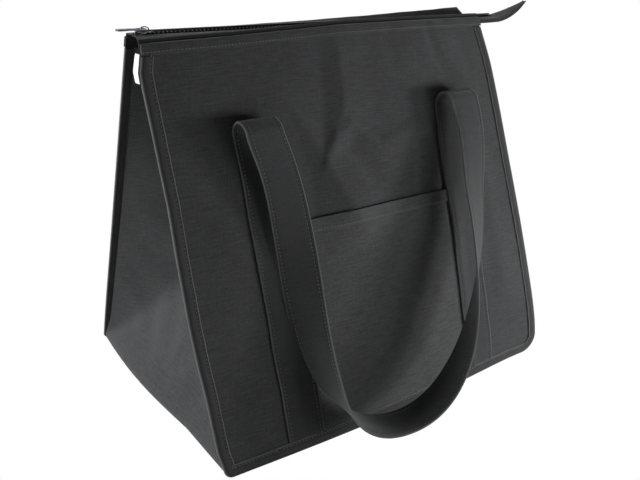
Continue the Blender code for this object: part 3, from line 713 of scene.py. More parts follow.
@dataclass(frozen=True)
class Finishes:
    """Every material of the scene."""

    cloth: bpy.types.Material
    pocket: bpy.types.Material
    strap: bpy.types.Material
    binding: bpy.types.Material
    tape: bpy.types.Material
    foil: bpy.types.Material
    teeth: bpy.types.Material
    metal: bpy.types.Material
    tag: bpy.types.Material
    thread: bpy.types.Material

    @classmethod
    def make(cls) -> "Finishes":
        """Build all the materials."""
        dark = (0.020, 0.0205, 0.0215)
        # Painted highlights along the strap and binding rims and painted shade in their seam
        # grooves.
        strap_painted_shading = Rim(0.5, 0.015, 0.7, 0.7, 0.003)
        binding_painted_shading = Rim(0.0045, 0.0045, 0.4, 1.0, 0.002)
        made = {
            "cloth": WovenCloth("outer_cloth", dark, (0.058, 0.059, 0.061)),
            # Painted light: the pocket is the outer cloth with lighter colours, standing in for
            # the brighter light that falls on it.
            "pocket": WovenCloth("pocket_weave", (0.026, 0.0265, 0.0275), (0.076, 0.077, 0.079)),
            "strap": WovenCloth(
                "strap_cloth", dark, (0.050, 0.051, 0.053), slub=0.35, rim=strap_painted_shading
            ),
            "binding": RibbedTape(
                "binding_tape", (0.014, 0.014, 0.015), (0.045, 0.045, 0.047), rim=binding_painted_shading
            ),
            "tape": RibbedTape("zip_tape", (0.004, 0.004, 0.004), (0.014, 0.014, 0.015)),
            "foil": FoilFoam(),
            "teeth": MouldedPlastic("zip_teeth", (0.004, 0.004, 0.005), (0.012, 0.012, 0.013)),
            "metal": LacqueredMetal(),
            "tag": RibbedTape("tag_cloth", (0.55, 0.55, 0.54), (0.86, 0.86, 0.85), rib=0.0003),
            "thread": SewingThread("thread", (0.030, 0.030, 0.031), (0.110, 0.110, 0.113)),
        }
        return cls(**{name: finish.material() for name, finish in made.items()})


# ---------------------------------------------------------------- meshes

CREASE_ANGLE = math.radians(48.0)


def placed(name: str, data: bpy.types.ID) -> bpy.types.Object:
    """A new object that holds some data, linked into the scene."""
    made = bpy.data.objects.new(name, data)
    bpy.context.scene.collection.objects.link(made)
    return made


def as_mesh(name: str, shape: bmesh.types.BMesh) -> bpy.types.Mesh:
    """A new mesh from an edited shape, which is freed."""
    mesh = bpy.data.meshes.new(name)
    shape.to_mesh(mesh)
    shape.free()
    return mesh


def evaluated(name: str, source: bpy.types.Object) -> bpy.types.Mesh:
    """Mesh of an object after its modifiers; the object is removed."""
    bpy.context.view_layer.update()
    graph = bpy.context.evaluated_depsgraph_get()
    mesh = bpy.data.meshes.new_from_object(source.evaluated_get(graph))
    mesh.name = name
    bpy.data.objects.remove(source, do_unlink=True)
    return mesh


def new_object(name: str, mesh: bpy.types.Mesh, material: bpy.types.Material) -> bpy.types.Object:
    """Link a mesh as an object, shaded smooth up to the crease angle."""
    mesh.materials.clear()
    mesh.materials.append(material)
    mesh.shade_smooth()
    mesh.set_sharp_from_angle(angle=CREASE_ANGLE)
    made = placed(name, mesh)
    log.info("%s: %d faces", name, len(mesh.polygons))
    return made


def hand_in(made: bpy.types.Object, body: str | tuple, slot: str, *nodes: str) -> None:
    """Parent a finished object to the empty of its body, or bake its transform where two bodies
    are given, and hide the CAD nodes that it stands for.

    Args:
        made: The object.
        body: Body that carries it, or two bodies and where the blend from one to the
            other starts and ends.
        slot: Its material slot; not used.
        *nodes: The CAD nodes that it stands for.
    """
    if isinstance(body, str):
        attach(made, body)
    else:
        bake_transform(made)
    if nodes:
        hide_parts(*nodes)


def write_uv(mesh: bpy.types.Mesh, uv: Grid) -> None:
    """Store one UV pair for each vertex, in metres, as the layer named weave."""
    layer = mesh.uv_layers.new(name="weave")
    corner = np.zeros(len(mesh.loops), np.int32)
    mesh.loops.foreach_get("vertex_index", corner)
    layer.data.foreach_set("uv", uv[corner].astype(np.float32).ravel())


def sheet_mesh(name: str, outside: Grid, inside: Grid, uv: Grid) -> bpy.types.Mesh:
    """A closed sheet between two grids of points.

    Args:
        name: Name of the mesh.
        outside: Points of the outer face, rows by columns by three.
        inside: Points of the inner face, of the same shape.
        uv: Places in the weave, rows by columns by two, in metres.

    Returns:
        The mesh, its faces turned outwards.
    """
    rows, columns = outside.shape[:2]
    count = rows * columns
    index = np.arange(count).reshape(rows, columns)
    quads = np.stack([index[:-1, :-1], index[:-1, 1:], index[1:, 1:], index[1:, :-1]], -1)
    quads = quads.reshape(-1, 4)
    rim = np.concatenate([index[0, :], index[1:, -1], index[-1, -2::-1], index[-2:0:-1, 0]])
    after = np.roll(rim, -1)
    sides = np.stack([after, rim, rim + count, after + count], -1)
    faces = np.concatenate([quads, quads[:, ::-1] + count, sides])
    mesh = bpy.data.meshes.new(name)
    points = np.concatenate([outside.reshape(-1, 3), inside.reshape(-1, 3)])
    mesh.from_pydata(points.tolist(), [], faces.tolist())
    write_uv(mesh, np.tile(uv.reshape(-1, 2), (2, 1)))
    turn_outward(mesh)
    return mesh


def tube_mesh(name: str, loops: Grid, uv: Grid) -> bpy.types.Mesh:
    """A closed body through a row of matching closed loops.

    Args:
        name: Name of the mesh.
        loops: Points, stations by places round the loop by three.
        uv: Places in the weave, of the same shape but two wide.

    Returns:
        The mesh, capped at both ends.
    """
    stations, around = loops.shape[:2]
    index = np.arange(stations * around).reshape(stations, around)
    ahead = np.roll(index, -1, axis=1)
    quads = np.stack([index[:-1], ahead[:-1], ahead[1:], index[1:]], -1).reshape(-1, 4)
    faces = quads.tolist() + [index[0, ::-1].tolist(), index[-1].tolist()]
    mesh = bpy.data.meshes.new(name)
    mesh.from_pydata(loops.reshape(-1, 3).tolist(), [], faces)
    write_uv(mesh, uv.reshape(-1, 2))
    turn_outward(mesh)
    return mesh


def turn_outward(mesh: bpy.types.Mesh) -> None:
    """Turn a closed mesh's faces outwards."""
    shape = bmesh.new()
    shape.from_mesh(mesh)
    bmesh.ops.recalc_face_normals(shape, faces=shape.faces)
    shape.to_mesh(mesh)
    shape.free()


def grid_normals(points: Grid) -> Grid:
    """Unit normals of a grid of points."""
    across = np.gradient(points, axis=1)
    along = np.gradient(points, axis=0)
    normal = np.cross(across, along)
    return normal / np.maximum(np.linalg.norm(normal, axis=-1, keepdims=True), 1e-12)


def bevelled(
    name: str, outline: Sequence[tuple[float, float]], low: float, high: float, bevel: float
) -> bpy.types.Mesh:
    """An upright prism with rounded rims, from a plan outline."""
    shape = bmesh.new()
    base = shape.faces.new([shape.verts.new((x, y, low)) for x, y in outline])
    pushed = bmesh.ops.extrude_face_region(shape, geom=[base])
    moved = [part for part in pushed["geom"] if isinstance(part, bmesh.types.BMVert)]
    bmesh.ops.translate(shape, verts=moved, vec=(0.0, 0.0, high - low))
    bmesh.ops.recalc_face_normals(shape, faces=shape.faces)
    rims = [edge for edge in shape.edges if abs(edge.verts[0].co.z - edge.verts[1].co.z) < 1e-9]
    if bevel > 0:
        bmesh.ops.bevel(shape, geom=rims, offset=bevel, segments=2, profile=0.6, affect="EDGES")
    return as_mesh(name, shape)


def joined(
    name: str, meshes: Iterable[bpy.types.Mesh], material: bpy.types.Material
) -> bpy.types.Object:
    """Join several meshes into one object."""
    shape = bmesh.new()
    for mesh in meshes:
        shape.from_mesh(mesh)
    return new_object(name, as_mesh(name, shape), material)


# ---------------------------------------------------------------- repeats made with nodes


@dataclass(frozen=True)
class Repeat:
    """A node group that sets copies of a small mesh along a line and makes them real."""

    pitch: float
    seed: int = 3
    turn_jitter: float = 0.0
    scale_jitter: float = 0.0

    def group(self) -> bpy.types.NodeTree:
        """Build the node group, with its sizes as named inputs."""
        group = bpy.data.node_groups.new("repeat_along_line", "GeometryNodeTree")
        kinds = {
            "Geometry": "Geometry",
            "Pitch": "Float",
            "Piece": "Object",
            "Seed": "Int",
            "Turn jitter": "Float",
            "Scale jitter": "Float",
            "Material": "Material",
        }
        face = group.interface
        for name, kind in kinds.items():
            face.new_socket(name, in_out="INPUT", socket_type="NodeSocket" + kind)
        face.new_socket("Geometry", in_out="OUTPUT", socket_type="NodeSocketGeometry")
        g = Tree(group)
        given = {name: g.node("NodeGroupInput", output=name) for name in kinds}
        spaced = g.node(
            "GeometryNodeResampleCurve",
            {"Curve": given["Geometry"], "Length": given["Pitch"]},
            mode="LENGTH",
        )
        align = "FunctionNodeAlignRotationToVector"
        aim = g.node(align, {"Vector": g.node("GeometryNodeInputTangent")}, axis="X")
        normal = g.node("GeometryNodeInputNormal")
        stand = g.node(align, {"Rotation": aim, "Vector": normal}, axis="Z", pivot_axis="X")
        jitter, seed = given["Turn jitter"], given["Seed"]
        chance = "FunctionNodeRandomValue"
        spread = g.node(chance, {2: jitter * -1.0, 3: jitter, "Seed": seed}, 1, data_type="FLOAT")
        angles = g.node("ShaderNodeCombineXYZ", {"Z": spread})
        turned = g.node(
            "FunctionNodeRotateRotation",
            {"Rotation": stand, "Rotate By": g.node("FunctionNodeEulerToRotation", {0: angles})},
            rotation_space="LOCAL",
        )
        least = 1.0 - given["Scale jitter"]
        grow = g.node(chance, {2: least, 3: 1.0, "Seed": seed}, 1, data_type="FLOAT")
        piece = g.node("GeometryNodeObjectInfo", {"Object": given["Piece"]}, "Geometry")
        copies = g.node(
            "GeometryNodeInstanceOnPoints",
            {"Points": spaced, "Instance": piece, "Rotation": turned, "Scale": grow},
        )
        real = g.node("GeometryNodeRealizeInstances", {0: copies})
        painted = g.node(
            "GeometryNodeSetMaterial", {"Geometry": real, "Material": given["Material"]}
        )
        g.node("NodeGroupOutput", {0: painted})
        return group

    def run(
        self,
        name: str,
        lines: Sequence[Grid],
        mesh: bpy.types.Mesh,
        material: bpy.types.Material,
    ) -> bpy.types.Object:
        """Set copies of a small mesh along lines.

        Args:
            name: Name of the object made.
            lines: Each an array of points.
            mesh: What is copied; its X runs along the line.
            material: Material of the copies.

        Returns:
            One object that holds all the copies.
        """
        piece = placed(mesh.name, mesh)
        piece.hide_render = True
        curve = bpy.data.curves.new(name, "CURVE")
        curve.dimensions = "3D"
        curve.twist_mode = "Z_UP"
        for line in lines:
            spline = curve.splines.new("POLY")
            spline.points.add(len(line) - 1)
            values = np.concatenate([line, np.ones((len(line), 1))], axis=1)
            spline.points.foreach_set("co", values.astype(np.float32).ravel())
        path = placed(name + "_line", curve)
        group = self.group()
        step = path.modifiers.new("repeat", "NODES")
        step.node_group = group
        values = {
            "Pitch": self.pitch,
            "Piece": piece,
            "Seed": self.seed,
            "Turn jitter": self.turn_jitter,
            "Scale jitter": self.scale_jitter,
            "Material": material,
        }
        for item in group.interface.items_tree:
            if item.in_out == "INPUT" and item.name in values:
                step[item.identifier] = values[item.name]
        made = evaluated(name, path)
        bpy.data.objects.remove(piece, do_unlink=True)
        bpy.data.node_groups.remove(group)
        return new_object(name, made, material)


@dataclass(frozen=True)
class Stitch:
    """One short stitch of thread, along X."""

    length: float = 0.0021
    radius: float = 0.00029
    pitch: float = 0.0028

    def mesh(self) -> bpy.types.Mesh:
        """The stitch that the node group copies."""
        shape = bmesh.new()
        bmesh.ops.create_uvsphere(shape, u_segments=7, v_segments=5, radius=self.radius)
        bmesh.ops.rotate(shape, verts=shape.verts, matrix=Matrix.Rotation(math.pi / 2, 3, "Y"))
        bmesh.ops.scale(shape, verts=shape.verts, vec=(self.length / 2 / self.radius, 1.0, 0.8))
        return as_mesh("stitch", shape)

    def sew(
        self, name: str, lines: Sequence[Grid], material: bpy.types.Material, body: str | tuple
    ) -> bpy.types.Object:
        """Sew stitches along lines.

        Args:
            name: Name of the object made.
            lines: Each an array of points.
            material: The thread.
            body: Body that carries the stitches, or two bodies and where the blend
                from one to the other starts and ends.

        Returns:
            All the stitches.
        """
        repeat = Repeat(self.pitch, turn_jitter=0.05, scale_jitter=0.12)
        sewn = repeat.run(name, lines, self.mesh(), material)
        hand_in(sewn, body, "binding_tape")
        return sewn


# ---------------------------------------------------------------- walls


@dataclass
class Wall:
    """One outer wall with its lining, binding, top band and, on the front, its pocket."""

    side: Side
    relief: WallRelief
    finishes: Finishes
    stitch: Stitch = field(default_factory=Stitch)
    near_edge: tuple[float, ...] = (0.0, 0.004, 0.009, 0.015, 0.024, 0.036, 0.055)
    cloth_inset: float = 0.0009
    lining_inset: float = 0.018
    lining_foot: float = 0.011
    lining_top: float = 0.94
    binding_end: float = 0.0089
    band_height: float = 0.008

    def edge(self, up: Grid, inset: float, hand: Hand) -> Grid:
        """Sideways place of the wall's edge at heights up the slope."""
        radius = FORM.corner(hand)
        inner = max(radius - inset, 0.0)
        drop = np.clip(FORM.hem_lift + radius - up, 0.0, inner)
        cut = inner - np.sqrt(np.maximum(inner**2 - drop**2, 0.0))
        return int(hand) * (FORM.half_width(up) - inset - cut)

    def surface(self, across: Grid, up: Grid, out: Grid) -> Grid:
        """Points a standoff from the wall's creased outer face."""
        return SLUMP(FORM.wall(across, up, out + self.relief(across, up), self.side))

    def layer(
        self,
        name: str,
        across: Grid,
        up: Grid,
        out: tuple[Grid, Grid],
        material: bpy.types.Material,
        shift: tuple[float, float] = (0.0, 0.0),
    ) -> bpy.types.Object:
        """A sheet that follows the creased wall.

        Args:
            name: Name of the object.
            across: Sideways places.
            up: Heights up the slope.
            out: Standoffs of its outer and its inner face.
            material: Its material.
            shift: Shift of its weave, in metres.

        Returns:
            The object.
        """
        faces = (self.surface(across, up, standoff) for standoff in out)
        mesh = sheet_mesh(name, *faces, stacked(across + shift[0], up + shift[1]))
        return new_object(name, mesh, material)

    def grid(
        self, low: float, high: float, inset: float, rows: int, columns: int
    ) -> tuple[Grid, Grid]:
        """Places over the wall between two heights, clear of its edges by an inset."""
        share = np.linspace(0.0, 1.0, rows)
        up = low + (high - low) * np.unique(np.concatenate([share, self.near_edge]))
        left, right = self.edge(up, inset, Hand.LEFT), self.edge(up, inset, Hand.RIGHT)
        places = np.linspace(0.0, 1.0, columns)[None, :]
        across = left[:, None] * (1 - places) + right[:, None] * places
        return across, np.broadcast_to(up[:, None], across.shape)

    def panel(self) -> None:
        """Outer cloth."""
        label, inset = self.side.label, self.cloth_inset
        across, up = self.grid(FORM.hem_lift + inset, FORM.slope, inset, 150, 150)
        made = self.layer(label + "_cloth", across, up, (0.0, -FORM.cloth), self.finishes.cloth)
        hand_in(made, self.side.wall, "outer_cloth", label + "_panel")

    def lining(self) -> None:
        """Foil-faced foam behind the cloth."""
        low, high = FORM.hem_lift + self.lining_foot, FORM.slope * self.lining_top
        across, up = self.grid(low, high, self.lining_inset, 60, 60)
        near = FORM.cloth + FORM.gap
        quilt = 0.0004 * np.sin(across * 160.0) * np.sin(up * 150.0)
        out = (-near, -near - FORM.foam + quilt)
        made = self.layer(self.side.label + "_lining", across, up, out, self.finishes.foil)
        hand_in(made, self.side.wall, "foil_lining", self.side.label + "_liner")

    def edge_path(self, top: float) -> tuple[Grid, Grid]:
        """Line down the left edge, round the corners and up the right.

        Args:
            top: Height up the slope of both its ends.

        Returns:
            Its places and its inward directions, one row for each.
        """
        halves = []
        for hand in Hand:
            radius, sign = FORM.corner(hand), int(hand)
            start = FORM.hem_lift + radius
            centre = sign * (FORM.width / 2 - radius)
            ups = np.linspace(top, start, 110)
            turns = np.linspace(0.0, math.pi / 2, 12)[1:]
            ray = stacked(sign * np.cos(turns), -np.sin(turns))
            side = stacked(sign * FORM.half_width(ups), ups)
            places = np.concatenate([side, ray * radius + np.array([centre, start])])
            halves.append((centre, places, np.concatenate([stacked(0 * ups - sign, 0.0), -ray])))
        (low, left, left_in), (high, right, right_in) = halves
        middle = np.linspace(low, high, 100)[1:-1]
        places = [left, stacked(middle, FORM.hem_lift), right[::-1]]
        inward = [left_in, stacked(0 * middle, 1.0), right_in[::-1]]
        return np.concatenate(places), np.concatenate(inward)

    def binding(self) -> None:
        """Folded tape round the left, bottom and right edges, a little puckered by its seam."""
        width = FORM.binding_width
        outer, inner = 0.0013, FORM.cloth + 0.0009
        profile = np.array(
            [
                (width, 0.00025),
                (width - 0.0003, outer * 0.72),
                (width - 0.0012, outer * 0.80),
                (width - 0.0020, outer * 0.66),
                (width - 0.0030, outer * 0.92),
                (width * 0.45, outer * 1.10),
                (0.0012, outer),
                (0.0003, outer * 0.45),
                (0.0, -0.0003),
                (0.0003, -inner * 0.75),
                (0.0014, -inner),
                (width * 0.5, -inner),
                (width - 0.0004, -inner * 0.98),
                (width, -FORM.cloth),
            ]
        )
        places, inward = self.edge_path(FORM.slope - self.binding_end)
        length = lengths(places)
        pucker = 0.00022 * np.sin(length * 2 * math.pi / 0.0061) + 0.00016 * np.sin(length * 390.0)
        swell = 1.0 + 0.10 * np.sin(length * 61.0)
        inset, out = profile[:, 0][None, :], profile[:, 1][None, :]
        across = places[:, :1] + inward[:, :1] * inset
        up = places[:, 1:] + inward[:, 1:] * inset
        lifted = np.where(out > 0, out * swell[:, None] + pucker[:, None] * (inset / width), out)
        name = self.side.label + "_edge_binding"
        loops = self.surface(across, up, lifted)
        mesh = tube_mesh(name, loops, stacked(inset, length[:, None]))
        made = new_object(name, mesh, self.finishes.binding)
        hand_in(made, self.side.wall, "binding_tape", self.side.label + "_binding")
        seam = places + inward * (width - 0.0020)
        lifts = (outer * 0.74, -inner - 0.0001)
        rows = [self.surface(seam[:, 0], seam[:, 1], lift) for lift in lifts]
        self.sew("binding_stitches", rows)

    def sew(self, name: str, rows: Sequence[Grid]) -> None:
        """Sew rows of stitches on this wall, named after its side."""
        name = f"{self.side.label}_{name}"
        self.stitch.sew(name, rows, self.finishes.thread, self.side.wall)

    def top_band(self) -> None:
        """Narrow facing folded over the top edge of the wall."""
        foot = FORM.slope - self.band_height
        profile = np.array(
            [
                (foot, 0.0002),
                (foot - 0.0002, 0.0009),
                (foot + 0.0008, 0.0014),
                (foot + 0.0018, 0.0012),
                (foot + 0.0040, 0.0015),
                (FORM.slope - 0.0008, 0.0014),
                (FORM.slope, 0.0006),
                (FORM.slope, 0.0002),
            ]
        )
        across = np.linspace(-1.0, 1.0, 170)[:, None] * FORM.half_width(profile[:, 0])[None, :]
        up = np.broadcast_to(profile[:, 0][None, :], across.shape)
        ripple = 1.0 + 0.10 * np.sin(across * 210.0) + 0.06 * np.sin(across * 83.0)
        loops = self.surface(across, up, profile[:, 1][None, :] * ripple)
        name = self.side.label + "_band"
        mesh = tube_mesh(name, loops, stacked(across, up))
        made = new_object(name, mesh, self.finishes.cloth)
        hand_in(made, self.side.wall, "outer_cloth", self.side.label + "_top_band")
        line = np.linspace(-0.161, 0.161, 150)
        self.sew("band_stitches", [self.surface(line, foot + 0.0016, 0.00135)])

    def pocket(self) -> None:
        """Patch pocket with a doubled, stitched hem."""
        half, low, high = 0.085, 0.0101, 0.545 * FORM.slope
        near = high - np.array([0.0, 0.0004, 0.0009, 0.0095, 0.0099, 0.0104])
        rows = np.unique(np.concatenate([np.linspace(low, high, 90), near]))
        up, across = np.meshgrid(rows, np.linspace(-half, half, 120), indexing="ij")
        hem = smooth((up - (high - 0.0103)) / 0.0008)
        hem = hem * (1 - smooth((np.abs(across) - 0.0783) / 0.0006))
        bulge = 0.0010 * np.cos(across / half * math.pi / 2)
        stand = FORM.gap + bulge * np.exp(-(((high - up) / 0.03) ** 2))
        out = (stand + FORM.cloth + hem * 0.0007, stand)
        weave = (0.31, 0.17)
        # The pocket's material is the outer cloth painted lighter, as painted light.
        made = self.layer("pocket_cloth", across, up, out, self.finishes.pocket, weave)
        hand_in(made, self.side.wall, "outer_cloth", "front_pocket")
        line = np.linspace(-0.078, 0.078, 90)
        lift = FORM.gap + FORM.cloth + 0.0008 + 0.0010 * np.cos(line / half * math.pi / 2)
        rows = [self.surface(line, high - 0.0088, lift)]
        self.stitch.sew("pocket_stitches", rows, self.finishes.thread, self.side.wall)

    def build(self) -> None:
        """Build all of this wall's pieces."""
        self.lining()
        self.binding()
        self.top_band()
        if self.side is Side.FRONT:
            self.pocket()
        self.panel()


# ---------------------------------------------------------------- gussets and base


@dataclass(frozen=True)
class GussetFold:
    """The inward fold of a side gusset: a leaning triangle below, a V above."""

    apex_height: float = 0.137
    apex_depth: float = 0.075
    top_depth: float = 0.100
    softness: float = 0.0050
    crease: float = 0.0030
    ramp: float = 0.006
    foot_inset: float = 0.0015
    flange: float = 0.0035
    top_inset: float = 0.0030
    edge_back: float = 0.0030
    blend_reach: float = 0.0112
    lining_gap: float = 0.0006
    lining_inset: float = 0.0052
    weave_scale: float = 0.117
    flat_spare: float = 1.35
    flat_least: float = 0.30

    def edge(self, height: Grid) -> Grid:
        """Half depth of the cloth at a height."""
        slope = (FORM.depth / 2 - FORM.mouth_half_gap) / FORM.height
        return FORM.depth / 2 - slope * height - self.edge_back

    def depth(self, across: Grid, height: Grid, foot: float) -> Grid:
        """How far the cloth is folded in."""
        above = height - foot
        climb = (above + np.hypot(above, self.ramp) - self.ramp) / 2 / (self.apex_height - foot)
        triangle = self.apex_depth * climb
        share = np.maximum(height - self.apex_height, 0.0) / (FORM.height - self.apex_height)
        crease = self.apex_depth + (self.top_depth - self.apex_depth) * share**2
        edge = self.edge(height)
        side = -crease * (np.hypot(across, self.crease) - np.hypot(edge, self.crease)) / edge
        soft = self.softness * triangle / (triangle + self.softness)
        return (triangle + side - np.hypot(triangle - side, soft)) / 2


@dataclass
class Gusset:
    """One side gusset, in a front and a back half that follow the walls."""

    hand: Hand
    finishes: Finishes
    fold: GussetFold = field(default_factory=GussetFold)

    @property
    def foot(self) -> float:
        """Radius of the rounded foot."""
        return FORM.corner(self.hand) - self.fold.foot_inset

    def face(self, share: Grid, level: Grid, side: Side, top: float) -> Grid:
        """Points of the outer face of one half.

        Args:
            share: From 0 at the middle crease to 1 at the wall.
            level: Below 0 round the foot, from -1; above 0 the height, 0 to 1.
            side: Front or back half.
            top: Height of the upper edge.

        Returns:
            The points.
        """
        radius = self.foot
        turn = np.clip(level + 1.0, 0.0, 1.0) * math.pi / 2
        rounded = radius - radius * np.cos(turn)
        height = np.where(level < 0, rounded, radius + (top - radius) * level)
        walled = np.maximum(height, radius)
        edge = self.fold.edge(walled)
        across = share * edge
        folded = np.where(level < 0, 0.0, self.fold.depth(across, walled, radius))
        ripple = 0.0011 * np.sin(across * 75.0 + height * 38.0) * np.sin(height * 61.0)
        ripple = ripple + 0.0005 * np.sin(across * 160.0 - height * 90.0)
        ease = smooth((1.0 - share) * 4.0) * smooth(np.clip(level, 0.0, 1.0) * 8.0)
        climb = walled - radius
        inset = self.fold.foot_inset + self.fold.flange * smooth(climb / 0.026)
        inset = inset + self.fold.top_inset * climb / FORM.height
        side_x = FORM.half_width(walled / math.cos(FORM.lean)) - inset
        round_in = np.where(level < 0, radius - radius * np.sin(turn), 0.0)
        x = side_x - round_in - folded + ripple * ease
        return SLUMP(stacked(int(self.hand) * x, int(side) * across, height))

    def half(self, side: Side, lining: bool) -> None:
        """One half of the cloth or of its lining."""
        columns, steps, clear = (26, 50, 0.019) if lining else (46, 96, 0.0085)
        rows = np.concatenate([np.linspace(-1.0, 0.0, 9)[:-1], np.linspace(0.0, 1.0, steps)])
        level, share = np.meshgrid(rows, np.linspace(0.0, 1.0, columns), indexing="ij")
        top = FORM.height - clear
        if lining:
            edge = self.fold.edge(np.maximum(level * top, self.foot))
            share = share * np.clip(1.0 - self.fold.lining_inset / edge, 0.5, 1.0)
        points = self.face(share, level, side, top)
        normal = grid_normals(points)
        normal = normal * (1.0 if np.sum(normal[..., 0] * int(self.hand)) > 0 else -1.0)
        near = FORM.cloth + self.fold.lining_gap if lining else 0.0
        far = near + FORM.foam if lining else FORM.cloth
        uv = stacked(share * self.fold.weave_scale + 0.2, level * top)
        node = self.hand.label + "_gusset"
        name = f"{node}_{side.label}_{'lining' if lining else 'cloth'}"
        mesh = sheet_mesh(name, points - normal * near, points - normal * far, uv)
        made = new_object(name, mesh, self.finishes.foil if lining else self.finishes.cloth)
        if lining:
            hand_in(made, self.follow(side), "foil_lining", node + "_liner")
        else:
            hand_in(made, self.follow(side), "outer_cloth", node)

    @staticmethod
    def area(points: Grid) -> float:
        """Area of a grid of points."""
        first = points[1:, 1:] - points[:-1, :-1]
        second = points[1:, :-1] - points[:-1, 1:]
        return float(np.linalg.norm(np.cross(first, second), axis=-1).sum() / 2)

    def follow(self, side: Side) -> tuple:
        """Blend that follows the wall near the seam and the base elsewhere."""
        end = FORM.wall(0.0, 0.0, -self.fold.edge_back * math.cos(FORM.lean), side)
        start = end - FORM.outward(side) * self.fold.blend_reach
        return "shell", side.wall, tuple(start), tuple(end)

    def build(self) -> None:
        """Build both halves of the cloth and of the lining."""
        for side in Side:
            self.half(side, False)
            self.half(side, True)


@dataclass
class Base:
    """Level bottom of the bag."""

    finishes: Finishes

    def build(self) -> None:
        """Build the base cloth and its lining."""
        left = FORM.corner_left - FORM.width / 2
        right = FORM.width / 2 - FORM.corner_right
        for name, node, low, high, inset, material in (
            ("base_cloth", "base_panel", 0.0, FORM.cloth, 0.0026, self.finishes.cloth),
            ("base_lining", "base_liner", 0.0012, 0.0034, 0.0056, self.finishes.foil),
        ):
            half_y = FORM.depth / 2 - inset
            across, depth = np.meshgrid(
                np.linspace(left, right, 60), np.linspace(-half_y, half_y, 44), indexing="ij"
            )
            quilt = 0.0003 if low > 0 else 0.0
            hang = quilt * np.sin(across * 70.0) * np.sin(depth * 90.0)
            faces = (SLUMP(stacked(across, depth, level + hang)) for level in (low, high))
            mesh = sheet_mesh(name, *faces, stacked(across, depth))
            made = new_object(name, mesh, material)
            if low > 0:
                hand_in(made, "shell", "foil_lining", node)
            else:
                hand_in(made, "shell", "outer_cloth", node)


# ---------------------------------------------------------------- straps

LEG_STEPS = 86
FOLD_STEPS = 21
HANG_STEPS = 90


@dataclass(frozen=True)
class StrapForm:
    """Sizes of a carrying strap and the way it hangs."""

    width: float = 0.030
    thickness: float = 0.0018
    centre: float = 0.094
    foot: float = 0.0101
    sewn_share: float = 0.77
    fold_radius: float = 0.0099
    reach: float = 0.0353
    join_z: float = 0.017
    join_share: float = -0.33
    join_turn: float = math.radians(12.3)
    join_dip: float = math.radians(-6.3)
    join_twist: float = math.radians(109.5)
    seam_inset: float = 0.0030
    easing: float = 0.009
    skin: float = 0.0002
    sag_start: float = 0.255
    sag_fade: float = 0.09
    follow_fade: float = 0.03
    pocket_half: float = 0.0850
    pocket_side_fade: float = 0.0025
    pocket_top: float = 0.1682
    pocket_top_fade: float = 0.003
    pocket_step: float = 0.0011


@dataclass(frozen=True)
class StrapFall:
    """The way one half of the loop hangs, from its crest to where the halves join."""

    hand: Hand
    length: float
    lean: float
    drift: float
    spread: float
    twist_start: float
    twist_end: float


FALLS = (
    StrapFall(Hand.LEFT, 0.0777, math.radians(9.8), 0.0352, 0.0926, 0.01, 1.0),
    StrapFall(Hand.RIGHT, 0.0300, math.radians(14.2), 0.0235, 0.0991, 0.0, 0.96),
)


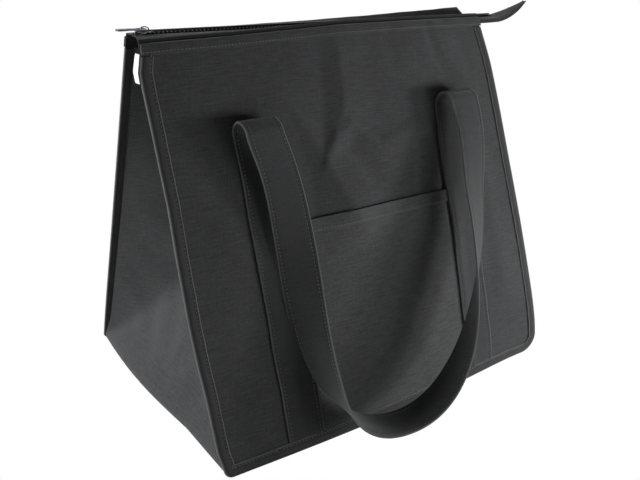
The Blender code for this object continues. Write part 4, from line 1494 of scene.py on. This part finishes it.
@dataclass
class Strap:
    """A strap sewn up both sides of a wall that hangs between its folds in a twisted loop."""

    wall: Wall
    finishes: Finishes
    form: StrapForm = field(default_factory=StrapForm)

    def half_path(self, fall: StrapFall) -> tuple[Grid, Grid]:
        """Middle line and across directions of one half, from its sewn foot to the join.

        Args:
            fall: How this half of the loop hangs.

        Returns:
            Points and unit directions, one row for each station.
        """
        f, hand = self.form, int(fall.hand)
        top, half = f.sewn_share * FORM.slope, f.thickness / 2
        x = hand * f.centre
        ups = np.linspace(f.foot, top, LEG_STEPS)
        line = list(FORM.wall(x, ups, FORM.gap + half, Side.FRONT))
        middle = f.fold_radius - half
        for turn in np.linspace(0.0, math.pi, FOLD_STEPS + 1)[1:]:
            out = FORM.gap + f.fold_radius - middle * math.cos(turn)
            line.append(FORM.wall(x, top + middle * math.sin(turn), out, Side.FRONT))
        across = [np.array([1.0, 0.0, 0.0])] * len(line)
        start = line[-1]
        down = np.array([0.0, -math.sin(fall.lean), -math.cos(fall.lean)])
        drop = down * fall.length + np.array([fall.drift, 0.0, 0.0])
        join = np.array([f.join_share * f.centre, -FORM.depth / 2 - f.reach, f.join_z])
        level, turn = math.cos(f.join_dip), f.join_turn
        run = np.array([level * math.cos(turn), -level * math.sin(turn), -math.sin(f.join_dip)])
        ends = (start, start + drop, join + run * hand * fall.spread, join)
        full = f.join_twist if fall.hand is Hand.LEFT else math.pi - f.join_twist
        for share in np.linspace(0.0, 1.0, HANG_STEPS + 1)[1:]:
            rest = 1 - share
            weights = (rest**3, 3 * rest**2 * share, 3 * rest * share**2, share**3)
            line.append(sum(w * e for w, e in zip(weights, ends)))
            reach = (share - fall.twist_start) / (fall.twist_end - fall.twist_start)
            angle = full * float(smooth(np.array(reach)))
            across.append(np.array([math.cos(angle), -math.sin(angle), 0.0]))
        return np.array(line), np.array(across)

    def frames(self) -> tuple[Grid, Grid, Grid]:
        """Middle line, across and facing directions of the whole strap, foot to foot."""
        (line, across), (other, other_across) = (self.half_path(fall) for fall in FALLS)
        turned = other_across[:-1][::-1] * np.array([-1.0, 1.0, 1.0])
        line = self.eased(np.concatenate([line, other[:-1][::-1]]))
        across = np.concatenate([across, turned])
        along = np.gradient(line, axis=0)
        along /= np.linalg.norm(along, axis=1, keepdims=True)
        across = across - along * np.sum(across * along, axis=1, keepdims=True)
        across /= np.linalg.norm(across, axis=1, keepdims=True)
        return line, across, np.cross(along, across)

    def eased(self, line: Grid) -> Grid:
        """Round off the turn to the side where the loop leaves its folds.

        Args:
            line: Middle line of the whole strap.

        Returns:
            The same line with its sideways run spread over the easing length.
        """
        length = lengths(line)
        gaps = (length[:, None] - length[None, :]) / self.form.easing
        weights = np.exp(-0.5 * gaps**2) * np.gradient(length)[None, :]
        shifted = weights @ line[:, 0] / weights.sum(axis=1)
        return np.stack([shifted, line[:, 1], line[:, 2]], axis=1)

    def build(self) -> None:
        """Build the two sewn legs, the loop between their folds and the stitching."""
        f = self.form
        line, across, facing = self.frames()
        length = lengths(line)
        legs = np.zeros(len(line))
        legs[:LEG_STEPS] = legs[-LEG_STEPS:] = 1.0
        half = f.width / 2
        places = np.array([0.28, 0.55, 0.74, 0.80, 0.86, 0.94, 0.985, 1.0])
        places = np.concatenate([-places[::-1], [0.0], places]) * half
        seam = np.exp(-(((np.abs(places) - (half - f.seam_inset)) / 0.0010) ** 2))
        rim = np.clip((half - np.abs(places)) / 0.0009, 0.0, 1.0)
        thick = f.thickness / 2 * (0.35 + 0.65 * np.sqrt(rim)) - 0.00028 * seam
        drift = 0.0006 * np.sin(length * 43.0) * (1 - legs) + 0.0002 * np.sin(length * 71.0)
        loops = []
        for sign, order in ((-1.0, slice(None)), (1.0, slice(None, None, -1))):
            offs = places[order][None, :, None] * across[:, None, :]
            skin = sign * thick[order][None, :, None] * facing[:, None, :]
            loops.append(line[:, None, :] + offs + skin + (drift[:, None] * across)[:, None, :])
        loops = np.concatenate(loops, axis=1)
        place = np.concatenate([places, places[::-1]])
        loops = self.settled(loops + self.relief_shift(loops, legs), length)
        if self.wall.side is Side.BACK:
            loops = loops * np.array([1.0, -1.0, 1.0])
        uv = stacked(place[None, :] + 0.5, length[:, None])
        side, label = self.wall.side, self.wall.side.label
        top = f.sewn_share * FORM.slope
        start = FORM.wall(0.0, top + 0.0001, 0.0017, side)
        end = FORM.wall(0.0, top + 0.0029, 0.0175, side)
        hang = (side.wall, label + "_handle", tuple(start), tuple(end))
        turn = LEG_STEPS + FOLD_STEPS
        parts = (
            ("leg_left", "strap_left", slice(0, turn + 1)),
            ("loop", "handle_loop", slice(turn, len(line) - turn)),
            ("leg_right", "strap_right", slice(len(line) - turn - 1, len(line))),
        )
        for name, node, part in parts:
            mesh = tube_mesh(f"{label}_{name}", loops[part], uv[part])
            made = new_object(f"{label}_{name}", mesh, self.finishes.strap)
            body = label + "_handle" if name == "loop" else hang
            hand_in(made, body, "strap_cloth", f"{label}_{node}")
        self.sew(line, across, facing, hang)

    def settled(self, points: Grid, length: Grid) -> Grid:
        """Let the sewn legs and their folds sag with the wall, and fade that out down the loop."""
        near = np.minimum(length, length[-1] - length)
        keep = 1 - smooth((near - self.form.sag_start) / self.form.sag_fade)
        keep = keep.reshape(-1, *([1] * (points.ndim - 1)))
        return points + (SLUMP(points) - points) * keep

    def relief_shift(self, loops: Grid, legs: Grid) -> Grid:
        """Shift by which the sewn legs follow the creased wall and step over the pocket.

        Args:
            loops: Points of the strap, one row for each station.
            legs: For each station 1 on a sewn leg, else 0.

        Returns:
            The shift of each point.
        """
        f = self.form
        up = loops[..., 2] / math.cos(FORM.lean)
        keep = legs[:, None] * smooth((f.sewn_share * FORM.slope - up) / f.follow_fade)
        lift = self.wall.relief(loops[..., 0], up) * keep
        if self.wall.side is Side.FRONT:
            inner = 1 - smooth((np.abs(loops[..., 0]) - f.pocket_half) / f.pocket_side_fade)
            below = 1 - smooth((up - f.pocket_top) / f.pocket_top_fade)
            lift = lift + f.pocket_step * inner * below * (keep > 0)
        return lift[..., None] * FORM.outward(Side.FRONT)

    def sew(self, line: Grid, across: Grid, facing: Grid, hang: tuple) -> None:
        """Rows of stitches near both edges, on the sewn legs and on both faces of the loop.

        Args:
            line: Middle line of the strap.
            across: Its across directions.
            facing: Its facing directions.
            hang: Bodies and places of the blend over its folds.
        """
        f = self.form
        inset = f.width / 2 - f.seam_inset
        skin = f.thickness / 2 - f.skin
        sewn, folded, hung = [], [], []
        turn, count = LEG_STEPS + FOLD_STEPS, len(line)
        for edge in (-inset, inset):
            for part in (slice(0, LEG_STEPS), slice(count - LEG_STEPS, count)):
                row = line[part] + across[part] * edge - facing[part] * skin
                row = row + self.relief_shift(row[:, None, :], np.ones(LEG_STEPS))[:, 0]
                sewn.append(SLUMP(row))
            for sign in (-1.0, 1.0):
                row = self.settled(line + across * edge + facing * sign * skin, lengths(line))
                folded.append(row[LEG_STEPS + 2 : turn + 1])
                folded.append(row[count - turn - 1 : count - LEG_STEPS - 2])
                hung.append(row[turn : count - turn])
        side = self.wall.side
        flip = np.array([1.0, -float(side), 1.0])
        for name, rows, body in (
            ("strap_stitches", sewn, side.wall),
            ("fold_stitches", folded, hang),
            ("loop_stitches", hung, side.label + "_handle"),
        ):
            rows = [row * flip for row in rows]
            self.wall.stitch.sew(f"{side.label}_{name}", rows, self.finishes.thread, body)


# ---------------------------------------------------------------- zip


@dataclass(frozen=True)
class ZipForm:
    """Sizes of the zip."""

    chain_half_gap: float = 0.0031
    tape: float = 0.0006
    pitch: float = 0.0032
    tooth_half_height: float = 0.0012
    spine_outer: float = 0.0030
    spine_inner: float = 0.0014
    reach: float = 0.0009
    slider_x: float = -0.1537
    slider_length: float = 0.011
    tail_length: float = 0.0765
    tail_rise: float = 0.0125
    tail_taper: float = 2.6
    overrun: float = 0.0285


@dataclass
class Zip:
    """The zip: tapes, rows of teeth, stops, slider, pull and free tail."""

    finishes: Finishes
    form: ZipForm = field(default_factory=ZipForm)
    stitch: Stitch = field(default_factory=Stitch)

    def half_tape(self, side: Side) -> None:
        """One tape, level beside the teeth and turned down behind the wall's top edge."""
        z, half = FORM.zip_z, self.form.tape / 2
        behind = FORM.cloth + 0.0002
        bend = abs(float(FORM.wall(0.0, (z + half) / math.cos(FORM.lean), -behind, side)[1]))
        foot = FORM.wall(0.0, FORM.slope - 0.008, -behind, side)
        profile = np.array(
            [
                (self.form.chain_half_gap, z + half),
                (0.0052, z + half),
                (0.0060, z + half + 0.0001),
                (0.0095, z + half),
                (bend - 0.0008, z + half),
                (bend, z + half - 0.0006),
                (abs(foot[1]), foot[2]),
                (abs(foot[1]) - self.form.tape, foot[2]),
                (bend - 0.0008, z - half - 0.0006),
                (bend - 0.0016, z - half),
                (0.0095, z - half),
                (self.form.chain_half_gap, z - half),
            ]
        )
        x = np.linspace(-FORM.top_half_width, FORM.top_half_width, 150)
        sag = 0.00025 * np.sin(x * 90.0) + 0.00015 * np.sin(x * 230.0)
        loops = np.zeros((len(x), len(profile), 3))
        loops[..., 0] = x[:, None]
        loops[..., 1] = int(side) * profile[:, 0][None, :]
        rise = smooth((profile[:, 0] - 0.0045) / 0.003)
        rise = rise * (1 - smooth((profile[:, 0] - 0.0105) / 0.003))
        loops[..., 2] = profile[:, 1][None, :] + sag[:, None] * rise[None, :]
        uv = stacked(profile.sum(axis=1)[None, :], x[:, None])
        name = side.label + "_tape_edge"
        made = new_object(name, tube_mesh(name, SLUMP(loops), uv), self.finishes.tape)
        hand_in(made, side.wall, "zip_tape", side.label + "_zip_tape")
        row = SLUMP(stacked(x, int(side) * 0.0108, z + half + 0.0001)[3:-3])
        name = side.label + "_tape_stitches"
        self.stitch.sew(name, [row], self.finishes.thread, side.wall)

    def tooth(self, side: Side) -> bpy.types.Mesh:
        """One tooth: a spine block with a rounded head reaching over the middle."""
        f = self.form
        half, flat, pitch = 0.00065, 0.00034, f.pitch / 2
        left = [
            (-pitch, f.spine_outer),
            (-pitch, f.spine_inner + 0.0004),
            (-half, f.spine_inner - 0.0002),
            (-half, 0.0003 - f.reach),
            (-flat, -f.reach),
        ]
        outline = left + [(-x, y) for x, y in reversed(left)]
        flipped = [(x, int(side) * y) for x, y in outline]
        return bevelled("tooth", flipped, -f.tooth_half_height, f.tooth_half_height, 0.00022)

    def teeth(self, side: Side) -> None:
        """One row of teeth, copied along the chain."""
        f = self.form
        slider_end = f.slider_x + f.slider_length / 2
        start = -FORM.top_half_width + 0.0028 if side is Side.BACK else slider_end + 0.0003
        end = FORM.top_half_width + (f.overrun if side is Side.BACK else 0.0)
        shift = f.pitch / 4 if side is Side.FRONT else f.pitch * 3 / 4
        first = math.ceil((start + f.pitch / 2 - shift) / f.pitch) * f.pitch + shift
        count = int((end - f.pitch / 2 - first) / f.pitch)
        ends = np.array([[first, 0.0, FORM.zip_z], [first + count * f.pitch, 0.0, FORM.zip_z]])
        name = side.label + "_teeth"
        row = Repeat(f.pitch).run(name, [ends], self.tooth(side), self.finishes.teeth)
        hand_in(row, side.wall, "zip_teeth", side.label + "_zip_teeth")

    def stops(self) -> None:
        """Moulded blocks at the ends of the rows."""
        start = -FORM.top_half_width + 0.0003
        end = FORM.top_half_width + self.form.overrun + 0.0003
        z = FORM.zip_z
        for name, node, x, side in (
            ("front_stop", "front_top_stop", start, Side.FRONT),
            ("back_stop", "back_top_stop", start, Side.BACK),
            ("bottom_stop", "zip_bottom_stop", end, Side.BACK),
        ):
            low, high = sorted((int(side) * 0.0006, int(side) * 0.0029))
            outline = rectangle(x, low, x + 0.0022, high)
            mesh = bevelled(name, outline, z - 0.0012, z + 0.0012, 0.0003)
            hand_in(new_object(name, mesh, self.finishes.teeth), side.wall, "zip_teeth", node)

    def tail(self) -> None:
        """Free end of the zip: tapes drawn together into a pointed boat."""
        f = self.form
        start = FORM.top_half_width + 0.0003
        share = np.linspace(0.0, 1.0, 60)
        x = start + f.tail_length * share
        taper = np.maximum(1 - share**f.tail_taper, 0.0)
        half = 0.0020 + 0.0110 * taper
        after = np.clip((x - start - f.overrun) / (f.tail_length - f.overrun), 0.0, 1.0)
        z = FORM.zip_z + f.tape / 2 + f.tail_rise * after**1.6
        drop = 0.0045 * taper**0.7
        places = np.array([0.0, 0.15, 0.4, 0.7, 0.9, 1.0, 1.0, 0.98])
        falls = np.array([0.0, 0.0, 0.03, 0.08, 0.25, 0.55, 0.85, 1.0])
        inner = np.minimum(f.chain_half_gap, half / 2) * (1 - smooth(after * 14.0)) + 0.00002
        y = inner[:, None] + (half - inner)[:, None] * places[None, :]
        top = z[:, None] - drop[:, None] * falls[None, :]
        uv = stacked(places[None, :] * 0.013, x[:, None])
        for side in Side:
            points = stacked(x[:, None], int(side) * y, top)
            normal = grid_normals(points)
            normal = normal * np.sign(normal[..., 2:3].sum() + 1e-9)
            self.tail_piece(f"tail_{side.label}_half", points, points - normal * f.tape, uv)

    def tail_piece(self, name: str, top: Grid, under: Grid, uv: Grid) -> None:
        """A sheet of tape that rides with the tail, between two grids of points."""
        made = new_object(name, sheet_mesh(name, top, under, uv), self.finishes.tape)
        hand_in(made, "back_wall", "zip_tape", "zip_tail")

    def tail_underlay(self) -> None:
        """Trough of tape under the tail's teeth, clear of the slider that runs in there."""
        start = FORM.top_half_width
        x = np.linspace(start + 0.0008, start + self.form.overrun + 0.006, 12)[:, None]
        half = np.array([0.0028, 0.0055, 0.0058, 0.0066])
        deep = np.array([0.0040, 0.0038, 0.0011, 0.0004])
        y = np.concatenate([-half[::-1], [0.0], half])
        points = stacked(x, y, FORM.zip_z - np.concatenate([deep[::-1], deep[:1], deep]))
        under = points - np.array([0.0, 0.0, 0.0004])
        self.tail_piece("tail_underlay", points, under, stacked(y, x))

    def slider(self) -> None:
        """Slider with two rounded plates, lips, nose and bail, and its pull."""
        f = self.form
        x0, z = f.slider_x, FORM.zip_z
        length, wide = f.slider_length, 0.0049
        inner, outer, lip = 0.0016, 0.0024, 0.0006
        nose = x0 - length / 2
        half = [
            (nose, -wide + 0.0009),
            (nose + 0.0009, -wide),
            (nose + 0.0050, -wide),
            (nose + 0.0072, -wide + 0.0012),
            (nose + length - 0.0008, -wide + 0.0014),
            (nose + length, -wide + 0.0022),
        ]
        outline = half + [(x, -y) for x, y in reversed(half)]
        meshes = [
            bevelled("plate", outline, z + inner, z + outer, 0.00028),
            bevelled("plate", outline, z - outer, z - inner, 0.00028),
        ]
        for side in (-1, 1):
            low_y, high_y = sorted((side * (wide - 0.0008), side * wide))
            edge = rectangle(nose + 0.0009, low_y, nose + 0.0050, high_y)
            for low, high in ((z + lip, z + inner + 0.0003), (z - inner - 0.0003, z - lip)):
                meshes.append(bevelled("lip", edge, low, high, 0.00015))
        back, front = nose + 0.0033, nose + 0.0002
        wedge = [(front, -0.0029), (back, -0.0024), (back, -0.0016), (front, -0.0014)]
        meshes.append(bevelled("nose", wedge, z - inner - 0.0002, z + inner + 0.0002, 0.0))
        meshes.append(self.arch(x0, z + outer))
        made = joined("slider_body", meshes, self.finishes.metal)
        hand_in(made, "slider", "slider_metal", "zip_slider")

    @staticmethod
    def arch(x0: float, foot: float) -> bpy.types.Mesh:
        """Bail that holds the pull, a strip bent over in an arch."""
        turns = np.linspace(math.pi, 0.0, 17)
        reach, rise = 0.0032, 0.0030
        height = foot - 0.0002 + rise * np.sin(turns) ** 0.6
        line = stacked(x0 + reach * np.cos(turns), 0.0, height)
        tangent = np.gradient(line, axis=0)
        tangent /= np.linalg.norm(tangent, axis=1, keepdims=True)
        normal = stacked(-tangent[:, 2], 0.0, tangent[:, 0])[:, None, :]
        ring = np.linspace(0.0, 2 * math.pi, 13)[:-1][None, :, None]
        across = np.array([0.0, 1.0, 0.0])
        section = np.cos(ring) * 0.0009 * across + np.sin(ring) * 0.00035 * normal
        loops = line[:, None, :] + section
        return tube_mesh("arch", loops, np.zeros((*loops.shape[:2], 2)))

    def pull(self) -> None:
        """Pull tab with a window round the bail and a ribbed grip."""
        x0 = self.form.slider_x
        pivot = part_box("zip_puller")
        z = (pivot[0].z + pivot[1].z) / 2
        near, far, wide = x0 + 0.0007, x0 - 0.0203, 0.0033
        ring = np.linspace(-math.pi / 2, math.pi / 2, 9)
        tip = [(far + 0.0024 - 0.0024 * math.cos(a), -wide * math.sin(a)) for a in ring]
        start = [(near, 0.0024), (near - 0.0008, 0.0030), (x0 - 0.0120, 0.0026)]
        outline = start + tip + [(x, -y) for x, y in reversed(start)]
        tab = bevelled("tab", outline, z - 0.0006, z + 0.0006, 0.0003)
        body = new_object("pull_tab", tab, self.finishes.metal)
        window = rectangle(x0 - 0.0057, -0.0018, x0 - 0.0007, 0.0018)
        cuts = [bevelled("cut", window, z - 0.002, z + 0.002, 0.0)]
        for back in (0.0105, 0.0125, 0.0145, 0.0165):
            groove = rectangle(x0 - back - 0.0003, -0.0022, x0 - back + 0.0003, 0.0022)
            cuts.append(bevelled("groove", groove, z + 0.0004, z + 0.002, 0.0))
        helper = joined("pull_window", cuts, self.finishes.metal)
        step = body.modifiers.new("window", "BOOLEAN")
        step.operation, step.solver, step.object = "DIFFERENCE", "EXACT", helper
        mesh = evaluated("pull_tab", body)
        bpy.data.objects.remove(helper, do_unlink=True)
        made = new_object("pull_tab", mesh, self.finishes.metal)
        hand_in(made, "puller", "slider_metal", "zip_puller")

    def tag(self) -> None:
        """Small bare tag at the closed end."""
        low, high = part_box("seam_tag")
        rows, columns = 24, 9
        share = np.linspace(0.0, 1.0, rows)[:, None]
        place = np.linspace(0.0, 1.0, columns)[None, :]
        z = high.z + 0.006 - (high.z - low.z + 0.006) * share
        up = np.broadcast_to(z, (rows, columns)) / math.cos(FORM.lean)
        seam = SLUMP(FORM.wall(-FORM.half_width(up), up, -0.0004, Side.FRONT))
        curl = 0.0006 * np.sin(share * 3.0) * np.sin(place * 2.5)
        points = seam + stacked(-0.0006 - curl, 0.0072 * place, 0.0)
        under = points + np.array([-0.0003, 0.0, 0.0])
        mesh = sheet_mesh("bare_tag", points, under, stacked(place * 0.009, share * 0.02))
        made = new_object("bare_tag", mesh, self.finishes.tag)
        hand_in(made, "front_wall", "tag_cloth", "seam_tag")

    def build(self) -> None:
        """Build the whole zip."""
        for side in Side:
            self.half_tape(side)
            self.teeth(side)
        self.stops()
        self.tail()
        self.tail_underlay()
        self.slider()
        self.pull()
        self.tag()


# ---------------------------------------------------------------- studio


@dataclass(frozen=True)
class Studio:
    """Camera, lights, floor and background."""

    eye: tuple[float, float, float] = (-0.35802, -0.49048, 0.35388)
    right: tuple[float, float, float] = (0.8132, -0.5817, 0.0219)
    upward: tuple[float, float, float] = (0.2033, 0.3191, 0.9257)
    lens: float = 41.07
    sensor: float = 36.0
    floor_size: float = 6.0
    floor_z: float = -0.0002
    fill: float = 0.02
    white: tuple[float, float, float, float] = (1.0, 1.0, 1.0, 1.0)

    def camera(self) -> None:
        """Camera at the photo's place."""
        data = bpy.data.cameras.new("photo_camera")
        data.lens, data.sensor_width = self.lens, self.sensor
        data.clip_start, data.clip_end = 0.01, 50.0
        right, up = Vector(self.right).normalized(), Vector(self.upward)
        up = (up - right * right.dot(up)).normalized()
        back = right.cross(up)
        made = placed("photo_camera", data)
        made.matrix_world = Matrix((right, up, back)).transposed().to_4x4()
        made.location = self.eye
        bpy.context.scene.camera = made

    def lamp(self, name: str, place: Sequence, aim: Sequence, size: float, power: float) -> None:
        """One soft square lamp."""
        data = bpy.data.lights.new(name, "AREA")
        data.shape, data.size, data.energy = "SQUARE", size, power
        made = placed(name, data)
        made.location = place
        made.rotation_euler = (Vector(aim) - Vector(place)).to_track_quat("-Z", "Y").to_euler()
        made.visible_camera = False

    def floor(self) -> None:
        """Plain pale floor."""
        mesh = bpy.data.meshes.new("floor")
        size = self.floor_size
        corners = [(x, y, self.floor_z) for x, y in rectangle(-size, -size, size, size)]
        mesh.from_pydata(corners, [], [(0, 1, 2, 3)])
        made = placed("floor", mesh)
        g = Graph("floor_white")
        glow = g.node("ShaderNodeEmission", {"Color": self.white, "Strength": 1.0})
        matte = g.node("ShaderNodeBsdfDiffuse", {"Color": (0.82, 0.82, 0.82, 1.0)})
        mixed = g.node("ShaderNodeMixShader", {0: g.bright(), 1: matte, 2: glow})
        g.node("ShaderNodeOutputMaterial", {"Surface": mixed})
        mesh.materials.append(g.material)

    def world(self) -> None:
        """White surroundings, dimmer for light than for the eye."""
        world = bpy.data.worlds.new("studio")
        bpy.context.scene.world = world
        world.use_nodes = True
        g = Tree(world.node_tree)
        fill = g.node("ShaderNodeBackground", {"Color": self.white, "Strength": self.fill})
        plain = g.node("ShaderNodeBackground", {"Color": self.white, "Strength": 1.0})
        mixed = g.node("ShaderNodeMixShader", {0: g.bright(), 1: fill, 2: plain})
        g.node("ShaderNodeOutputWorld", {"Surface": mixed})

    def build(self) -> None:
        """Set up the whole studio."""
        self.camera()
        self.floor()
        self.world()
        middle, low = (0.0, 0.0, 0.12), (0.0, -0.1, 0.1)
        self.lamp("top", (0.0, 0.1, 1.3), middle, 0.7, 0.6)
        self.lamp("left", (-1.3, 0.2, 0.25), middle, 0.5, 13.2)
        self.lamp("left_back", (-0.9, 0.7, 1.0), middle, 0.5, 13.5)
        self.lamp("low_right", (0.30, -0.60, 0.10), low, 0.3, 2.1)
        self.lamp("right", (0.6, -0.45, 0.15), low, 0.15, 3.2)
        bpy.context.scene.view_settings.view_transform = "Standard"


FRONT_CREASES = (
    Crease(
        (
            (-0.0567, 0.2520, 0.0002, 0.004, 0.003),
            (-0.0353, 0.2126, 0.0030, 0.022, 0.014),
            (-0.0175, 0.1692, 0.0056, 0.036, 0.034),
            (-0.0060, 0.1400, 0.0010, 0.040, 0.040),
        )
    ),
    Crease(
        (
            (-0.0020, 0.3050, 0.0014, 0.032, 0.016),
            (-0.0042, 0.2838, 0.0030, 0.032, 0.017),
            (-0.0072, 0.2477, 0.0038, 0.030, 0.017),
            (-0.0213, 0.2280, 0.0026, 0.016, 0.010),
            (-0.0325, 0.2122, 0.0006, 0.008, 0.003),
        )
    ),
    Crease(
        (
            (-0.0325, 0.2122, 0.0012, 0.005, 0.016),
            (-0.0198, 0.2263, 0.0015, 0.005, 0.020),
            (-0.0055, 0.2324, 0.0016, 0.006, 0.022),
            (0.0211, 0.2128, 0.0015, 0.006, 0.018),
            (0.0531, 0.2246, 0.0016, 0.006, 0.020),
            (0.0667, 0.2195, 0.0012, 0.006, 0.014),
            (0.0690, 0.2080, 0.0006, 0.006, 0.010),
        )
    ),
    Crease(
        ((-0.0030, 0.2218, -0.0010, 0.010, 0.008), (0.0091, 0.1875, -0.0006, 0.010, 0.008)), 0.002
    ),
    Crease(
        ((0.0613, 0.2108, -0.0010, 0.010, 0.006), (0.0543, 0.1742, -0.0008, 0.010, 0.006)), 0.002
    ),
    Crease(
        ((0.0455, 0.3060, -0.0010, 0.007, 0.006), (0.0486, 0.2700, -0.0004, 0.009, 0.006)), 0.002
    ),
    Crease(
        ((0.0930, 0.3060, -0.0010, 0.007, 0.006), (0.0935, 0.2769, -0.0004, 0.009, 0.006)), 0.002
    ),
    Crease(
        ((-0.1350, 0.2900, 0.0006, 0.016, 0.020), (-0.0700, 0.2640, 0.0010, 0.014, 0.018)), 0.004
    ),
    Crease(
        ((-0.1420, 0.1000, 0.0004, 0.012, 0.014), (-0.1180, 0.0500, 0.0012, 0.014, 0.016)), 0.004
    ),
    Crease(
        ((0.1050, 0.2850, 0.0008, 0.016, 0.010), (0.1380, 0.2200, 0.0012, 0.018, 0.012)), 0.003
    ),
    Crease(
        ((0.1280, 0.1900, 0.0010, 0.014, 0.010), (0.1330, 0.0700, 0.0010, 0.014, 0.010)), 0.003
    ),
)
BACK_CREASES = (
    Crease(
        (
            (0.0500, 0.3050, 0.0016, 0.018, 0.030),
            (0.0420, 0.2500, 0.0026, 0.016, 0.030),
            (0.0300, 0.2150, 0.0006, 0.006, 0.012),
        )
    ),
    Crease(
        (
            (-0.0600, 0.2500, 0.0004, 0.006, 0.010),
            (-0.0380, 0.2120, 0.0022, 0.020, 0.014),
            (-0.0100, 0.1800, 0.0012, 0.028, 0.020),
        )
    ),
    Crease(
        ((-0.0200, 0.1900, 0.0010, 0.020, 0.012), (0.0400, 0.1200, 0.0014, 0.024, 0.014)), 0.003
    ),
    Crease(
        ((0.1200, 0.2700, 0.0010, 0.014, 0.010), (0.1350, 0.1500, 0.0014, 0.016, 0.010)), 0.003
    ),
)


def main() -> None:
    """Build the bag and its studio."""
    logging.basicConfig(level=logging.INFO, format="%(name)s %(message)s")
    finishes = Finishes.make()
    front = Wall(Side.FRONT, WallRelief(FRONT_CREASES, 0.0009, 0.6), finishes)
    back = Wall(Side.BACK, WallRelief(BACK_CREASES, 0.0009, 2.1), finishes)
    Zip(finishes).build()
    for wall in (front, back):
        wall.build()
        Strap(wall, finishes).build()
    Base(finishes).build()
    for hand in Hand:
        Gusset(hand, finishes).build()
    Studio().build()


if __name__ == "__main__":
    main()
